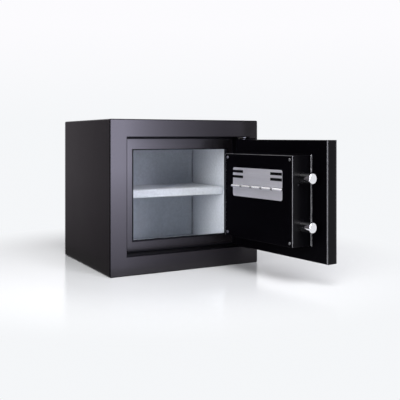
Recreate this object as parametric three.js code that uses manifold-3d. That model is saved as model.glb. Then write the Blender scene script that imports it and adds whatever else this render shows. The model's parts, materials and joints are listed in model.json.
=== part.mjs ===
// Compact fire and burglary safe, door open, in millimetres, +Z up.
// The part's frame: origin at the bottom centre of the body, front face towards -Y.
// Body pieces are drawn from the body's front left bottom corner: X right, Y into the depth, Z up.
// Door pieces are drawn on the closed door: x = -e, with e counted from the hinge edge to the free edge,
// y from the door's outer face inwards, z from the floor. The door's group turns them about the hinge pins.

import * as THREE from 'three';
import { mergeVertices } from 'three/addons/utils/BufferGeometryUtils.js';
import Module from 'manifold-3d';

const wasm = await Module();
wasm.setup();

// Body
const WIDTH = 332;
const HEIGHT = 300;
const DEPTH = 279;
const SHEET = 2;
const SHELL_RADIUS = 3;
const FRAME_SIDE = 35.5;
const FRAME_TOP = 35.25;
const FRAME_BOTTOM = 37.5;
const REBATE_DEPTH = 40;

// Mouth in the rebate's bottom plate, counted from the rebate's walls
const MOUTH_LEFT = 28.75;
const MOUTH_RIGHT = 17;
const MOUTH_TOP = 25.25;
const MOUTH_BOTTOM = 22.25;
const TRIM_LIP = 2;
const TRIM_FRONT = 1.25;
const TRIM_DEPTH = 10.25;
const TRIM_WALL = 1.5;
const TRIM_GAP = 0.25;
const SEAL_WIDTH = 3.25;
const SEAL_THICK = 1.25;

// Hold and lining
const WALL_SIDE = 26.5;
const WALL_TOP = 26.75;
const WALL_BACK = 40.5;
const LINER = 1.25;
const LINING = 2.25;
const SHELF_THICK = 17;
const SHELF_UNDER = 138.5;
const SHELF_FRONT = 91.5;
const SHELF_GAP = 0.25;
const RAIL_FOOT = 12;
const RAIL_RISE = 10;
const RAIL_SHEET = 2;
const RAIL_INSET = 14;

// Hinge
const PIN_SIDE = 8.25;
const PIN_DEPTH = 7.75;
const PIN_RADIUS = 3;
const PIN_GAP = 0.3;
const PIN_REACH = 10;
const PIN_HEAD_RADIUS = 4.5;
const PIN_HEAD = 2;
const EYE_RADIUS = 5.25;
const EAR_THICK = 2.5;
const EAR_ARM = 9;
const EAR_PAD_LENGTH = 34;
const EAR_PAD_WIDTH = 14;
const EAR_PAD_INSET = 1;
const NOTCH_RUN = 0.75;
const NOTCH_DEPTH = 22.5;
const BRACKET_HEIGHT = 12;
const BRACKET_SPINE = 5;
const BRACKET_DEPTH = 16.5;
const OPEN_ANGLE = 96.3;

// Door
const DOOR_GAP = 1.5;
const DOOR_LIFT = 3.25;
const DOOR_DROP = 4.5;
const DOOR_SINK = 14.75;
const SEAL_SPACE = 2;
const DOOR_SHEET = 2;
const FACE_SHEET = 2.75;
const DOOR_EDGE = 2.5;
const SEAT = 0.3;

// Lock box on the door's inner face
const BOX_HINGE = 24.75;
const BOX_MARGIN = 39.25;
const BOX_RAISE = 29.25;
const BOX_DROP = 27.75;
const BOX_STAND = 46.5;
const BOX_SHEET = 1.5;
const BOX_FLANGE = 2.25;
const BOX_FLANGE_THICK = 1.25;
const COVER_SHEET = 1.5;
const RIVET_STAND = 32.5;
const RIVET_RADIUS = 1;
const RIVET_GAP = 0.25;
const RIVET_HEAD = 2;
const RIVET_HEAD_HIGH = 0.8;
const RIVET_LENGTH = 3;
const TAB_SIZE = 13;
const TAB_THICK = 3;
const SCREW_INSET = 7.25;
const SCREW_HEAD = 3.5;
const SCREW_HEAD_HIGH = 1.8;
const SCREW_SHANK = 1.5;
const SCREW_LENGTH = 6;
const SCREW_HOLE = 1.8;

// Hinged plate on the cover
const PLATE_BELOW = 20;
const PLATE_ABOVE = 35.5;
const PLATE_SHEET = 1.25;
const PLATE_CORNER = 4;
const KNUCKLE_RADIUS = 2.4;
const KNUCKLES = 5;
const KNUCKLE_SPACE = 6;
const KNUCKLE_GAP = 0.4;
const FLAP_PIN_RADIUS = 1.1;
const FLAP_PIN_GAP = 0.25;
const FLAP_PIN_HEAD = 2;
const FLAP_PIN_OUT = 2.2;
const LEAF_GAP = 0.4;
const BAR_LENGTH = 31.5;
const BAR_HEIGHT = 3;
const BAR_DEEP = 0.5;
const BAR_UPPER = 28.25;
const BAR_LOWER = 18;

// Battery tray behind the flap
const CELL_RADIUS = 7.2;
const CELL_LENGTH = 49.2;
const CELL_NIPPLE = 1;
const CELL_NIPPLE_RADIUS = 2.7;
const CELL_GAP = 0.4;
const TRAY_WALL = 1;
const TRAY_INSET = 6;
const TRAY_LIP = 3;
const TRAY_CLEAR = 0.6;
const TRAY_LIP_THICK = 1.2;

// Bolts and their drive
const BOLT_RADIUS = 9.5;
const BOLT_OUT = 27.25;
const BOLT_TRAVEL = 25.5;
const BOLT_STAND = 22.5;
const BOLT_EDGE = 1.25;
const BOLT_GAP = 0.4;
const TAIL_RADIUS = 4;
const TAIL_LENGTH = 3;
const CARRIER_THICK = 4;
const CARRIER_PLATE = 4;
const CARRIER_WIDTH = 18;
const CARRIER_OVER = 11;
const CARRIER_INSET = 17.75;
const ARM_HIGH = 50;
const ARM_END = 9;
const CRANK_PIN_RADIUS = 3;
const SLOT_GAP = 0.9;
const CAM_THICK = 3;
const CAM_EDGE = 4;
const SPINDLE_RADIUS = 4;
const SPINDLE_GAP = 0.4;
const KNOB_TURN = 90;
const KNOB_RADIUS = 18;
const KNOB_HIGH = 24;
const KNOB_SKIRT = 22;
const KNOB_SKIRT_HIGH = 4;
const KNOB_GRIPS = 6;
const KNOB_GRIP_CUT = 5;
const KNOB_EDGE = 2;

// Lock chassis, solenoid and board
const CHASSIS_THICK = 2;
const STUD_RADIUS = 2.5;
const STUD_INSET = 40.5;
const STUD_SPACE = 26;
const STUD_SLOT_GAP = 0.4;
const SOLENOID_WIDE = 22;
const SOLENOID_HIGH = 26;
const SOLENOID_DEEP = 16;
const PLUNGER_RADIUS = 2;
const PLUNGER_GAP = 0.3;
const PLUNGER_THROW = 6;
const PLUNGER_INSET = 58;
const BOARD_HIGH = 34;
const BOARD_THICK = 1.6;
const BOARD_RAISE = 8;
const BOARD_INSET = 13.25;
const BOARD_SPACE = 7;
const BOARD_CORNER = 5;

// Keypad on the door's outer face
const PAD_WIDE = 124;
const PAD_HIGH = 52;
const PAD_THICK = 11;
const PAD_CORNER = 6;
const PAD_FLOOR = 3;
const KEY_COLUMNS = 5;
const KEY_ROWS = 2;
const KEY_WIDE = 16;
const KEY_HIGH = 15;
const KEY_PITCH_X = 21;
const KEY_PITCH_Z = 20;
const KEY_OUT = 1.6;
const KEY_TRAVEL = 1.2;
const KEY_GAP = 0.3;
const KEY_CORNER = 2;

// Places up the door, as shares of its height
const BOLT_LOWER_SHARE = 0.2984;
const HINGE_LINE_SHARE = 0.5911;
const RIVET_SHARE = 0.6344;
const BOLT_UPPER_SHARE = 0.6913;
const PAD_SHARE = 0.7893;

// Places across the lock box, from its hinge side, as shares of its width
const PLATE_START_SHARE = 0.1353;
const KNOB_SHARE = 0.5374;
const PLATE_END_SHARE = 0.8675;

const OVERRUN = 1;
const ROUND_STEPS = 32;
const FINE_STEPS = 20;
const CORNER_STEPS = 4;

// Places worked out from the sizes above
const rebate = {
  x0: FRAME_SIDE,
  x1: WIDTH - FRAME_SIDE,
  z0: FRAME_BOTTOM,
  z1: HEIGHT - FRAME_TOP,
};
const mouth = {
  x0: rebate.x0 + MOUTH_LEFT,
  x1: rebate.x1 - MOUTH_RIGHT,
  z0: rebate.z0 + MOUTH_BOTTOM,
  z1: rebate.z1 - MOUTH_TOP,
};
const plateBack = REBATE_DEPTH + SHEET;
const liner = {
  x0: WALL_SIDE,
  x1: WIDTH - WALL_SIDE,
  z0: WALL_TOP,
  z1: HEIGHT - WALL_TOP,
  y1: DEPTH - WALL_BACK,
};
const hold = {
  x0: liner.x0 + LINER + LINING,
  x1: liner.x1 - LINER - LINING,
  z0: liner.z0 + LINER + LINING,
  z1: liner.z1 - LINER - LINING,
  y1: liner.y1 - LINER - LINING,
};
const pin = { x: rebate.x1 + PIN_SIDE, y: PIN_DEPTH };
const door = {
  wide: rebate.x1 - rebate.x0 - 2 * DOOR_GAP,
  thick: REBATE_DEPTH - SEAL_SPACE - DOOR_SINK,
  z0: rebate.z0 + DOOR_LIFT,
  z1: rebate.z1 - DOOR_DROP,
};
const hingeEdge = rebate.x1 - DOOR_GAP;
const boxEnd = door.wide - BOX_MARGIN;
const boxUnder = door.z0 + BOX_RAISE;
const boxOver = door.z1 - BOX_DROP;
const boxFoot = door.thick + SEAT;
const boxTop = door.thick + BOX_STAND;
const coverUnder = boxTop - COVER_SHEET;
const coverBack = coverUnder - SEAT;
const boltAxis = door.thick + BOLT_STAND;
const up = (share) => door.z0 + share * (door.z1 - door.z0);
const across = (share) => BOX_HINGE + share * (boxEnd - BOX_HINGE);
const boltUpper = up(BOLT_UPPER_SHARE);
const boltLower = up(BOLT_LOWER_SHARE);
const boltMiddle = (boltUpper + boltLower) / 2;
const rivetPlace = up(RIVET_SHARE);
const hingeLine = up(HINGE_LINE_SHARE);
const padMiddle = up(PAD_SHARE);
const plateStart = across(PLATE_START_SHARE);
const plateEnd = across(PLATE_END_SHARE);
const knobPlace = across(KNOB_SHARE);
const crank = BOLT_TRAVEL / 2 / Math.sin(KNOB_TURN / 2 * Math.PI / 180);
const flangeEnd = boxEnd - CARRIER_INSET;
const studPlace = flangeEnd - STUD_INSET;
const plungerPlace = flangeEnd - PLUNGER_INSET;
const carrierBack = boltAxis - CARRIER_PLATE / 2;
const carrierFront = boltAxis + CARRIER_PLATE / 2;
const tray = {
  e0: plateStart + TRAY_INSET,
  e1: plateStart + TRAY_INSET + 2 * (CELL_LENGTH + CELL_GAP) + CELL_GAP + 2 * TRAY_WALL,
  z0: hingeLine + KNUCKLE_RADIUS + TRAY_CLEAR,
  z1: hingeLine + KNUCKLE_RADIUS + TRAY_CLEAR + 4 * CELL_RADIUS + 3 * CELL_GAP + 2 * TRAY_WALL,
  y0: boxTop - 2 * CELL_RADIUS - 2 * CELL_GAP - TRAY_WALL,
};

function paint(color, roughness, metalness) {
  return new THREE.MeshStandardMaterial({ color, roughness, metalness });
}

const finish = {
  enamel: () => paint(0x3a383a, 0.42, 0.15),
  blackPaint: () => paint(0x121216, 0.4, 0.15),
  rubber: () => paint(0x0c0c0d, 0.8, 0),
  carpet: () => paint(0xa3a6ab, 0.95, 0),
  zinc: () => paint(0xb9bcc0, 0.35, 0.9),
  chrome: () => paint(0xd6d8db, 0.15, 1),
  stainless: () => paint(0xb8b8be, 0.35, 0.85),
  insulation: () => paint(0xb5afa3, 0.95, 0),
  plastic: () => paint(0x1a1a1d, 0.5, 0),
  key: () => paint(0x8f9296, 0.5, 0.1),
  cell: () => paint(0x2d5f8a, 0.4, 0.2),
  board: () => paint(0x1f5a38, 0.5, 0.1),
};

// Solids

function toSolid(geometry) {
  const bare = geometry.index ? geometry.toNonIndexed() : geometry.clone();
  bare.deleteAttribute('normal');
  bare.deleteAttribute('uv');
  const merged = mergeVertices(bare);
  const mesh = new wasm.Mesh({
    numProp: 3,
    vertProperties: new Float32Array(merged.attributes.position.array),
    triVerts: new Uint32Array(merged.index.array),
  });
  return new wasm.Manifold(mesh);
}

function toGeometry(solid) {
  const mesh = solid.getMesh();
  const geometry = new THREE.BufferGeometry();
  geometry.setAttribute('position', new THREE.BufferAttribute(mesh.vertProperties, 3));
  geometry.setIndex(new THREE.BufferAttribute(mesh.triVerts, 1));
  return geometry;
}

function box(x0, x1, y0, y1, z0, z1) {
  const geometry = new THREE.BoxGeometry(x1 - x0, y1 - y0, z1 - z0);
  geometry.translate((x0 + x1) / 2, (y0 + y1) / 2, (z0 + z1) / 2);
  return toSolid(geometry);
}

// A box named by e, the distance from the door's hinge edge
function doorBox(e0, e1, y0, y1, z0, z1) {
  return box(-e1, -e0, y0, y1, z0, z1);
}

// A turned piece: profile points are [radius, height] and run from axis to axis
function turned(profile, steps) {
  return new THREE.LatheGeometry(profile.map(([r, h]) => new THREE.Vector2(r, h)), steps);
}

function rodAlongY(radius, x, y0, y1, z, steps) {
  const geometry = new THREE.CylinderGeometry(radius, radius, y1 - y0, steps);
  geometry.translate(x, (y0 + y1) / 2, z);
  return toSolid(geometry);
}

function rodAlongX(radius, x0, x1, y, z, steps) {
  const geometry = new THREE.CylinderGeometry(radius, radius, x1 - x0, steps);
  geometry.rotateZ(Math.PI / 2);
  geometry.translate((x0 + x1) / 2, y, z);
  return toSolid(geometry);
}

function rodAlongZ(radius, x, y, z0, z1, steps) {
  const geometry = new THREE.CylinderGeometry(radius, radius, z1 - z0, steps);
  geometry.rotateX(Math.PI / 2);
  geometry.translate(x, y, (z0 + z1) / 2);
  return toSolid(geometry);
}

function roundedOutline(x0, x1, z0, z1, radius) {
  const shape = new THREE.Shape();
  shape.moveTo(x0 + radius, z0);
  shape.lineTo(x1 - radius, z0);
  shape.absarc(x1 - radius, z0 + radius, radius, -Math.PI / 2, 0);
  shape.lineTo(x1, z1 - radius);
  shape.absarc(x1 - radius, z1 - radius, radius, 0, Math.PI / 2);
  shape.lineTo(x0 + radius, z1);
  shape.absarc(x0 + radius, z1 - radius, radius, Math.PI / 2, Math.PI);
  shape.lineTo(x0, z0 + radius);
  shape.absarc(x0 + radius, z0 + radius, radius, Math.PI, 3 * Math.PI / 2);
  return shape;
}

// An outline drawn in X and Z, given depth from y0 to y1
function plateXZ(shape, y0, y1) {
  const settings = { depth: y1 - y0, bevelEnabled: false, curveSegments: CORNER_STEPS };
  const geometry = new THREE.ExtrudeGeometry(shape, settings);
  geometry.rotateX(Math.PI / 2);
  geometry.translate(0, y1, 0);
  return toSolid(geometry);
}

// An outline drawn in X and Y, given height from z0 to z1
function plateXY(shape, z0, z1) {
  const settings = { depth: z1 - z0, bevelEnabled: false, curveSegments: CORNER_STEPS };
  const geometry = new THREE.ExtrudeGeometry(shape, settings);
  geometry.translate(0, 0, z0);
  return toSolid(geometry);
}

// A slab whose edges at y1 are rounded: rectangles stacked along y, each drawn in by its inset
function roundedSlab(x0, x1, y0, y1, z0, z1, radius) {
  const loops = [[y0, 0]];
  for (let step = 0; step <= CORNER_STEPS; step += 1) {
    const angle = step / CORNER_STEPS * Math.PI / 2;
    loops.push([y1 - radius + radius * Math.sin(angle), radius - radius * Math.cos(angle)]);
  }
  const points = [];
  for (const [y, inset] of loops) {
    points.push(x0 + inset, y, z0 + inset, x1 - inset, y, z0 + inset);
    points.push(x1 - inset, y, z1 - inset, x0 + inset, y, z1 - inset);
  }
  const faces = [0, 1, 2, 0, 2, 3];
  const last = 4 * (loops.length - 1);
  for (let ring = 0; ring < last; ring += 4) {
    for (let side = 0; side < 4; side += 1) {
      const a = ring + side;
      const b = ring + (side + 1) % 4;
      faces.push(a, a + 4, b, b, a + 4, b + 4);
    }
  }
  faces.push(last, last + 2, last + 1, last, last + 3, last + 2);
  const geometry = new THREE.BufferGeometry();
  geometry.setAttribute('position', new THREE.Float32BufferAttribute(points, 3));
  geometry.setIndex(faces);
  return toSolid(geometry);
}

function joined(solids) {
  return solids.reduce((whole, piece) => whole.add(piece));
}

function cut(solid, tools) {
  return tools.reduce((rest, tool) => rest.subtract(tool), solid);
}

function place(group, name, shape, material) {
  const geometry = shape.isBufferGeometry ? shape : toGeometry(shape);
  const mesh = new THREE.Mesh(geometry, material);
  mesh.name = name;
  group.add(mesh);
  return mesh;
}

// Body

function ear(side) {
  const upper = side === 'upper';
  const z0 = upper ? door.z1 + SEAT : door.z0 - SEAT - EAR_THICK;
  return { upper, z0, z1: z0 + EAR_THICK };
}

function notchBand(side) {
  const { upper } = ear(side);
  return upper
    ? { z0: door.z1 - NOTCH_RUN, z1: rebate.z1 }
    : { z0: rebate.z0, z1: door.z0 + NOTCH_RUN };
}

function notches() {
  return ['upper', 'lower'].map((side) => {
    const band = notchBand(side);
    const x1 = pin.x + EYE_RADIUS + NOTCH_RUN;
    const acrossFront = box(rebate.x1 - OVERRUN, x1, -OVERRUN, SHEET + OVERRUN, band.z0, band.z1);
    const acrossWall = box(rebate.x1 - OVERRUN, rebate.x1 + SHEET, -OVERRUN, NOTCH_DEPTH, band.z0, band.z1);
    return acrossFront.add(acrossWall);
  });
}

function shellPieces(group) {
  const outline = roundedOutline(0, WIDTH, 0, HEIGHT, SHELL_RADIUS);
  const inside = box(SHEET, WIDTH - SHEET, 0, DEPTH + OVERRUN, SHEET, HEIGHT - SHEET);
  place(group, 'outer_shell', cut(plateXZ(outline, SHEET, DEPTH), [inside]), finish.enamel());

  const back = box(SHEET, WIDTH - SHEET, DEPTH - SHEET, DEPTH, SHEET, HEIGHT - SHEET);
  place(group, 'back_plate', back, finish.enamel());

  const face = plateXZ(outline, 0, SHEET);
  const wallsOut = box(rebate.x0 - SHEET, rebate.x1 + SHEET, 0, REBATE_DEPTH,
    rebate.z0 - SHEET, rebate.z1 + SHEET);
  const opening = box(rebate.x0, rebate.x1, -OVERRUN, REBATE_DEPTH + OVERRUN, rebate.z0, rebate.z1);
  place(group, 'front_frame', cut(face.add(wallsOut), [opening, ...notches()]), finish.enamel());
}

function mouthPieces(group) {
  const reach = TRIM_WALL + TRIM_GAP;
  const plate = box(liner.x0, liner.x1, REBATE_DEPTH, plateBack, liner.z0, liner.z1);
  const hole = box(mouth.x0 - reach, mouth.x1 + reach, 0, DEPTH, mouth.z0 - reach, mouth.z1 + reach);
  place(group, 'mouth_plate', cut(plate, [hole]), finish.enamel());

  const lipFront = REBATE_DEPTH - TRIM_FRONT;
  const lip = box(mouth.x0 - TRIM_LIP, mouth.x1 + TRIM_LIP, lipFront, REBATE_DEPTH,
    mouth.z0 - TRIM_LIP, mouth.z1 + TRIM_LIP);
  const jamb = box(mouth.x0 - TRIM_WALL, mouth.x1 + TRIM_WALL, lipFront, REBATE_DEPTH + TRIM_DEPTH,
    mouth.z0 - TRIM_WALL, mouth.z1 + TRIM_WALL);
  const clear = box(mouth.x0, mouth.x1, 0, DEPTH, mouth.z0, mouth.z1);
  place(group, 'mouth_trim', cut(lip.add(jamb), [clear]), finish.rubber());

  const sealFront = REBATE_DEPTH - SEAL_THICK;
  const seal = box(rebate.x0, rebate.x1, sealFront, REBATE_DEPTH, rebate.z0, rebate.z1);
  const sealHole = box(rebate.x0 + SEAL_WIDTH, rebate.x1 - SEAL_WIDTH, 0, DEPTH,
    rebate.z0 + SEAL_WIDTH, rebate.z1 - SEAL_WIDTH);
  place(group, 'rebate_seal', cut(seal, [sealHole]), finish.rubber());
}

function linerPieces(group) {
  const outer = box(liner.x0, liner.x1, plateBack, liner.y1, liner.z0, liner.z1);
  const inner = box(liner.x0 + LINER, liner.x1 - LINER, 0, liner.y1 - LINER,
    liner.z0 + LINER, liner.z1 - LINER);
  place(group, 'inner_liner', cut(outer, [inner]), finish.zinc());

  const y1 = liner.y1 - LINER;
  const side = { x0: hold.x0 - LINING, x1: hold.x1 + LINING, z0: hold.z0 - LINING, z1: hold.z1 + LINING };
  const panels = {
    lining_floor: box(side.x0, side.x1, plateBack, y1, side.z0, hold.z0),
    lining_top: box(side.x0, side.x1, plateBack, y1, hold.z1, side.z1),
    lining_left: box(side.x0, hold.x0, plateBack, y1, hold.z0, hold.z1),
    lining_right: box(hold.x1, side.x1, plateBack, y1, hold.z0, hold.z1),
    lining_back: box(hold.x0, hold.x1, hold.y1, y1, hold.z0, hold.z1),
  };
  for (const [name, panel] of Object.entries(panels)) {
    place(group, name, panel, finish.carpet());
  }
}

function shelfPieces(group) {
  const notchWide = RAIL_SHEET + 2 * SHELF_GAP;
  const notchHigh = RAIL_RISE + SHELF_GAP;
  const board = box(hold.x0 + SHELF_GAP, hold.x1 - SHELF_GAP, SHELF_FRONT, hold.y1 - SHELF_GAP,
    SHELF_UNDER, SHELF_UNDER + SHELF_THICK);
  const railFront = SHELF_FRONT + RAIL_INSET;
  const railNotches = [
    box(0, hold.x0 + notchWide, railFront - SHELF_GAP, DEPTH, 0, SHELF_UNDER + notchHigh),
    box(hold.x1 - notchWide, WIDTH, railFront - SHELF_GAP, DEPTH, 0, SHELF_UNDER + notchHigh),
  ];
  place(group, 'shelf', cut(board, railNotches), finish.carpet());

  const low = SHELF_UNDER - RAIL_SHEET;
  const rails = {
    shelf_rail_left: [hold.x0, hold.x0 + RAIL_SHEET, hold.x0 + RAIL_FOOT],
    shelf_rail_right: [hold.x1, hold.x1 - RAIL_SHEET, hold.x1 - RAIL_FOOT],
  };
  for (const [name, [wall, upright, tip]] of Object.entries(rails)) {
    const foot = box(Math.min(wall, tip), Math.max(wall, tip), railFront, hold.y1, low, SHELF_UNDER);
    const rise = box(Math.min(wall, upright), Math.max(wall, upright), railFront, hold.y1,
      low, SHELF_UNDER + RAIL_RISE);
    place(group, name, foot.add(rise), finish.zinc());
  }
}

function bracketSpan(side) {
  const band = notchBand(side);
  return {
    band,
    x0: rebate.x1 + SHEET,
    x1: pin.x + EYE_RADIUS + NOTCH_RUN + BRACKET_SPINE,
    y1: SHEET + BRACKET_DEPTH,
    z0: band.z0 - BRACKET_HEIGHT,
    z1: band.z1 + BRACKET_HEIGHT,
  };
}

function hingePieces(group) {
  for (const side of ['upper', 'lower']) {
    const span = bracketSpan(side);
    const block = box(span.x0, span.x1, SHEET, span.y1, span.z0, span.z1);
    const slot = box(0, span.x1 - BRACKET_SPINE, 0, DEPTH, span.band.z0, span.band.z1);
    const bore = rodAlongZ(PIN_RADIUS + PIN_GAP, pin.x, pin.y, 0, HEIGHT, FINE_STEPS);
    place(group, `hinge_bracket_${side}`, cut(block, [slot, bore]), finish.zinc());

    const low = span.band.z0 - PIN_REACH;
    const high = span.z1 + SEAT;
    const profile = [[0, low], [PIN_RADIUS, low], [PIN_RADIUS, high], [PIN_HEAD_RADIUS, high],
      [PIN_HEAD_RADIUS, high + PIN_HEAD], [0, high + PIN_HEAD]];
    const hingePin = turned(profile, FINE_STEPS);
    hingePin.rotateX(Math.PI / 2);
    hingePin.translate(pin.x, pin.y, 0);
    place(group, `hinge_pin_${side}`, hingePin, finish.zinc());
  }
}

function insulationPiece(group) {
  const mass = box(SHEET, WIDTH - SHEET, SHEET, DEPTH - SHEET, SHEET, HEIGHT - SHEET);
  const holdRoom = box(liner.x0, liner.x1, REBATE_DEPTH, liner.y1, liner.z0, liner.z1);
  const rebateRoom = box(rebate.x0 - SHEET, rebate.x1 + SHEET, 0, REBATE_DEPTH + OVERRUN,
    rebate.z0 - SHEET, rebate.z1 + SHEET);
  const hingeRooms = ['upper', 'lower'].map((side) => {
    const span = bracketSpan(side);
    return box(rebate.x1, span.x1 + OVERRUN, 0, NOTCH_DEPTH + OVERRUN,
      span.z0 - OVERRUN, span.z1 + PIN_HEAD + OVERRUN);
  });
  place(group, 'insulation', cut(mass, [holdRoom, rebateRoom, ...hingeRooms]), finish.insulation());
}

// Door

function spindleBore() {
  return rodAlongY(SPINDLE_RADIUS + SPINDLE_GAP, -knobPlace, -OVERRUN, boxTop, boltMiddle, FINE_STEPS);
}

function doorShell(group) {
  const spindle = spindleBore();
  const face = doorBox(0, door.wide, 0, FACE_SHEET, door.z0, door.z1);
  place(group, 'door_face', cut(face, [spindle]), finish.enamel());

  const panStart = FACE_SHEET + SEAT;
  const outer = roundedSlab(-door.wide, 0, panStart, door.thick, door.z0, door.z1, DOOR_EDGE);
  const inner = doorBox(DOOR_SHEET, door.wide - DOOR_SHEET, 0, door.thick - DOOR_SHEET,
    door.z0 + DOOR_SHEET, door.z1 - DOOR_SHEET);
  place(group, 'door_pan', cut(outer, [inner, spindle]), finish.blackPaint());

  const margin = DOOR_SHEET + SEAT;
  const filling = doorBox(margin, door.wide - margin, panStart, door.thick - margin,
    door.z0 + margin, door.z1 - margin);
  place(group, 'door_insulation', cut(filling, [spindle]), finish.insulation());
}

function earShape() {
  // Seen along Z about the pin: a pad on the door's edge and an arm from it to the eye
  const padNear = hingeEdge - pin.x - EAR_PAD_INSET;
  const padFar = padNear - EAR_PAD_LENGTH;
  const y0 = DOOR_SINK - pin.y + EAR_PAD_INSET;
  const y1 = y0 + EAR_PAD_WIDTH;
  const end = new THREE.Vector2(padNear - EAR_ARM / 2, y0 + EAR_ARM / 2);
  const side = new THREE.Vector2(-end.y, end.x).normalize().multiplyScalar(EAR_ARM / 2);
  const arm = new THREE.Shape([
    side.clone(),
    end.clone().add(side),
    end.clone().sub(side),
    side.clone().negate(),
  ]);
  return { arm, padFar, padNear, y0, y1 };
}

function hingeEars(group) {
  for (const side of ['upper', 'lower']) {
    const { z0, z1 } = ear(side);
    const { arm, padFar, padNear, y0, y1 } = earShape();
    const pad = box(padFar, padNear, y0, y1, z0, z1);
    const eye = rodAlongZ(EYE_RADIUS, 0, 0, z0, z1, ROUND_STEPS);
    const bore = rodAlongZ(PIN_RADIUS + PIN_GAP, 0, 0, z0 - OVERRUN, z1 + OVERRUN, FINE_STEPS);
    const whole = cut(joined([eye, plateXY(arm, z0, z1), pad]), [bore]);
    place(group, `hinge_ear_${side}`, whole, finish.zinc());
  }
}

function screwPlaces() {
  const e0 = BOX_HINGE + SCREW_INSET;
  const e1 = boxEnd - SCREW_INSET;
  const z0 = boxUnder + SCREW_INSET;
  const z1 = boxOver - SCREW_INSET;
  return [[e0, z0], [e1, z0], [e0, z1], [e1, z1]];
}

function lockBox(group) {
  const walls = doorBox(BOX_HINGE, boxEnd, boxFoot, coverBack, boxUnder, boxOver);
  const flange = doorBox(BOX_HINGE - BOX_FLANGE, boxEnd + BOX_FLANGE, boxFoot, boxFoot + BOX_FLANGE_THICK,
    boxUnder - BOX_FLANGE, boxOver + BOX_FLANGE);
  const inside = doorBox(BOX_HINGE + BOX_SHEET, boxEnd - BOX_SHEET, 0, boxTop,
    boxUnder + BOX_SHEET, boxOver - BOX_SHEET);
  const tabs = screwPlaces().map(([e, z]) => {
    const half = TAB_SIZE / 2;
    const [e0, e1] = [Math.max(e - half, BOX_HINGE), Math.min(e + half, boxEnd)];
    const [z0, z1] = [Math.max(z - half, boxUnder), Math.min(z + half, boxOver)];
    return doorBox(e0, e1, coverBack - TAB_THICK, coverBack, z0, z1);
  });
  const holes = screwPlaces().map(([e, z]) => rodAlongY(SCREW_HOLE, -e, 0, boxTop, z, FINE_STEPS));
  const boltHoles = [boltUpper, boltLower].map((z) => (
    rodAlongX(BOLT_RADIUS + BOLT_GAP, -door.wide, -boxEnd + BOX_SHEET + OVERRUN, boltAxis, z, ROUND_STEPS)
  ));
  const rivetHole = rodAlongX(RIVET_RADIUS + RIVET_GAP, -door.wide, -boxEnd + BOX_SHEET + OVERRUN,
    door.thick + RIVET_STAND, rivetPlace, FINE_STEPS);
  const shell = joined([cut(walls.add(flange), [inside]), ...tabs]);
  place(group, 'lock_box', cut(shell, [...holes, ...boltHoles, rivetHole]), finish.blackPaint());

  const under = boxEnd + RIVET_GAP;
  const rivetProfile = [[0, boxEnd - RIVET_LENGTH], [RIVET_RADIUS, boxEnd - RIVET_LENGTH],
    [RIVET_RADIUS, under], [RIVET_HEAD, under], [RIVET_RADIUS, under + RIVET_HEAD_HIGH],
    [0, under + RIVET_HEAD_HIGH]];
  const rivet = turned(rivetProfile, FINE_STEPS);
  rivet.rotateZ(Math.PI / 2);
  rivet.translate(0, door.thick + RIVET_STAND, rivetPlace);
  place(group, 'box_rivet', rivet, finish.zinc());

  const cover = doorBox(BOX_HINGE, boxEnd, coverUnder, boxTop, boxUnder, boxOver);
  const window = doorBox(tray.e0, tray.e1, 0, boxTop + OVERRUN, tray.z0, tray.z1);
  place(group, 'box_cover', cut(cover, [window, ...holes]), finish.blackPaint());

  screwPlaces().forEach(([e, z], index) => {
    const seat = boxTop + SEAT;
    const tip = seat - SCREW_LENGTH;
    const dome = seat + SCREW_HEAD_HIGH;
    const shoulder = seat + SCREW_HEAD_HIGH / 2;
    const profile = [[0, tip], [SCREW_SHANK, tip], [SCREW_SHANK, seat], [SCREW_HEAD, seat],
      [SCREW_HEAD, shoulder], [SCREW_HEAD / 2, dome], [0, dome]];
    const screw = turned(profile, FINE_STEPS);
    screw.translate(-e, 0, z);
    place(group, `cover_screw_${index + 1}`, screw, finish.zinc());
  });
}

const leafBack = boxTop + SEAT;
const leafFront = leafBack + PLATE_SHEET;
const knuckleAxis = leafBack + KNUCKLE_RADIUS;

function knuckleSpans() {
  const pitch = (plateEnd - plateStart + KNUCKLE_SPACE) / KNUCKLES;
  const long = [];
  const short = [];
  for (let index = 0; index < KNUCKLES; index += 1) {
    const start = plateStart + index * pitch;
    const end = start + pitch - KNUCKLE_SPACE;
    long.push([start, end]);
    if (index < KNUCKLES - 1) {
      short.push([end + KNUCKLE_GAP, end + KNUCKLE_SPACE - KNUCKLE_GAP]);
    }
  }
  return { long, short };
}

function leafWithKnuckles(leaf, spans, rivals, web) {
  const axis = { y: knuckleAxis, z: hingeLine };
  const room = KNUCKLE_RADIUS + LEAF_GAP;
  const barrels = spans.map(([e0, e1]) => (
    rodAlongX(KNUCKLE_RADIUS, -e1, -e0, axis.y, axis.z, FINE_STEPS)
      .add(doorBox(e0, e1, leafBack, leafFront, web[0], web[1]))
  ));
  const pockets = rivals.map(([e0, e1]) => (
    doorBox(e0 - KNUCKLE_GAP, e1 + KNUCKLE_GAP, 0, boxTop + BOX_STAND, axis.z - room, axis.z + room)
  ));
  const bore = rodAlongX(FLAP_PIN_RADIUS + FLAP_PIN_GAP, -door.wide, 0, axis.y, axis.z, FINE_STEPS);
  return cut(joined([cut(leaf, pockets), ...barrels]), [bore]);
}

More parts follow.
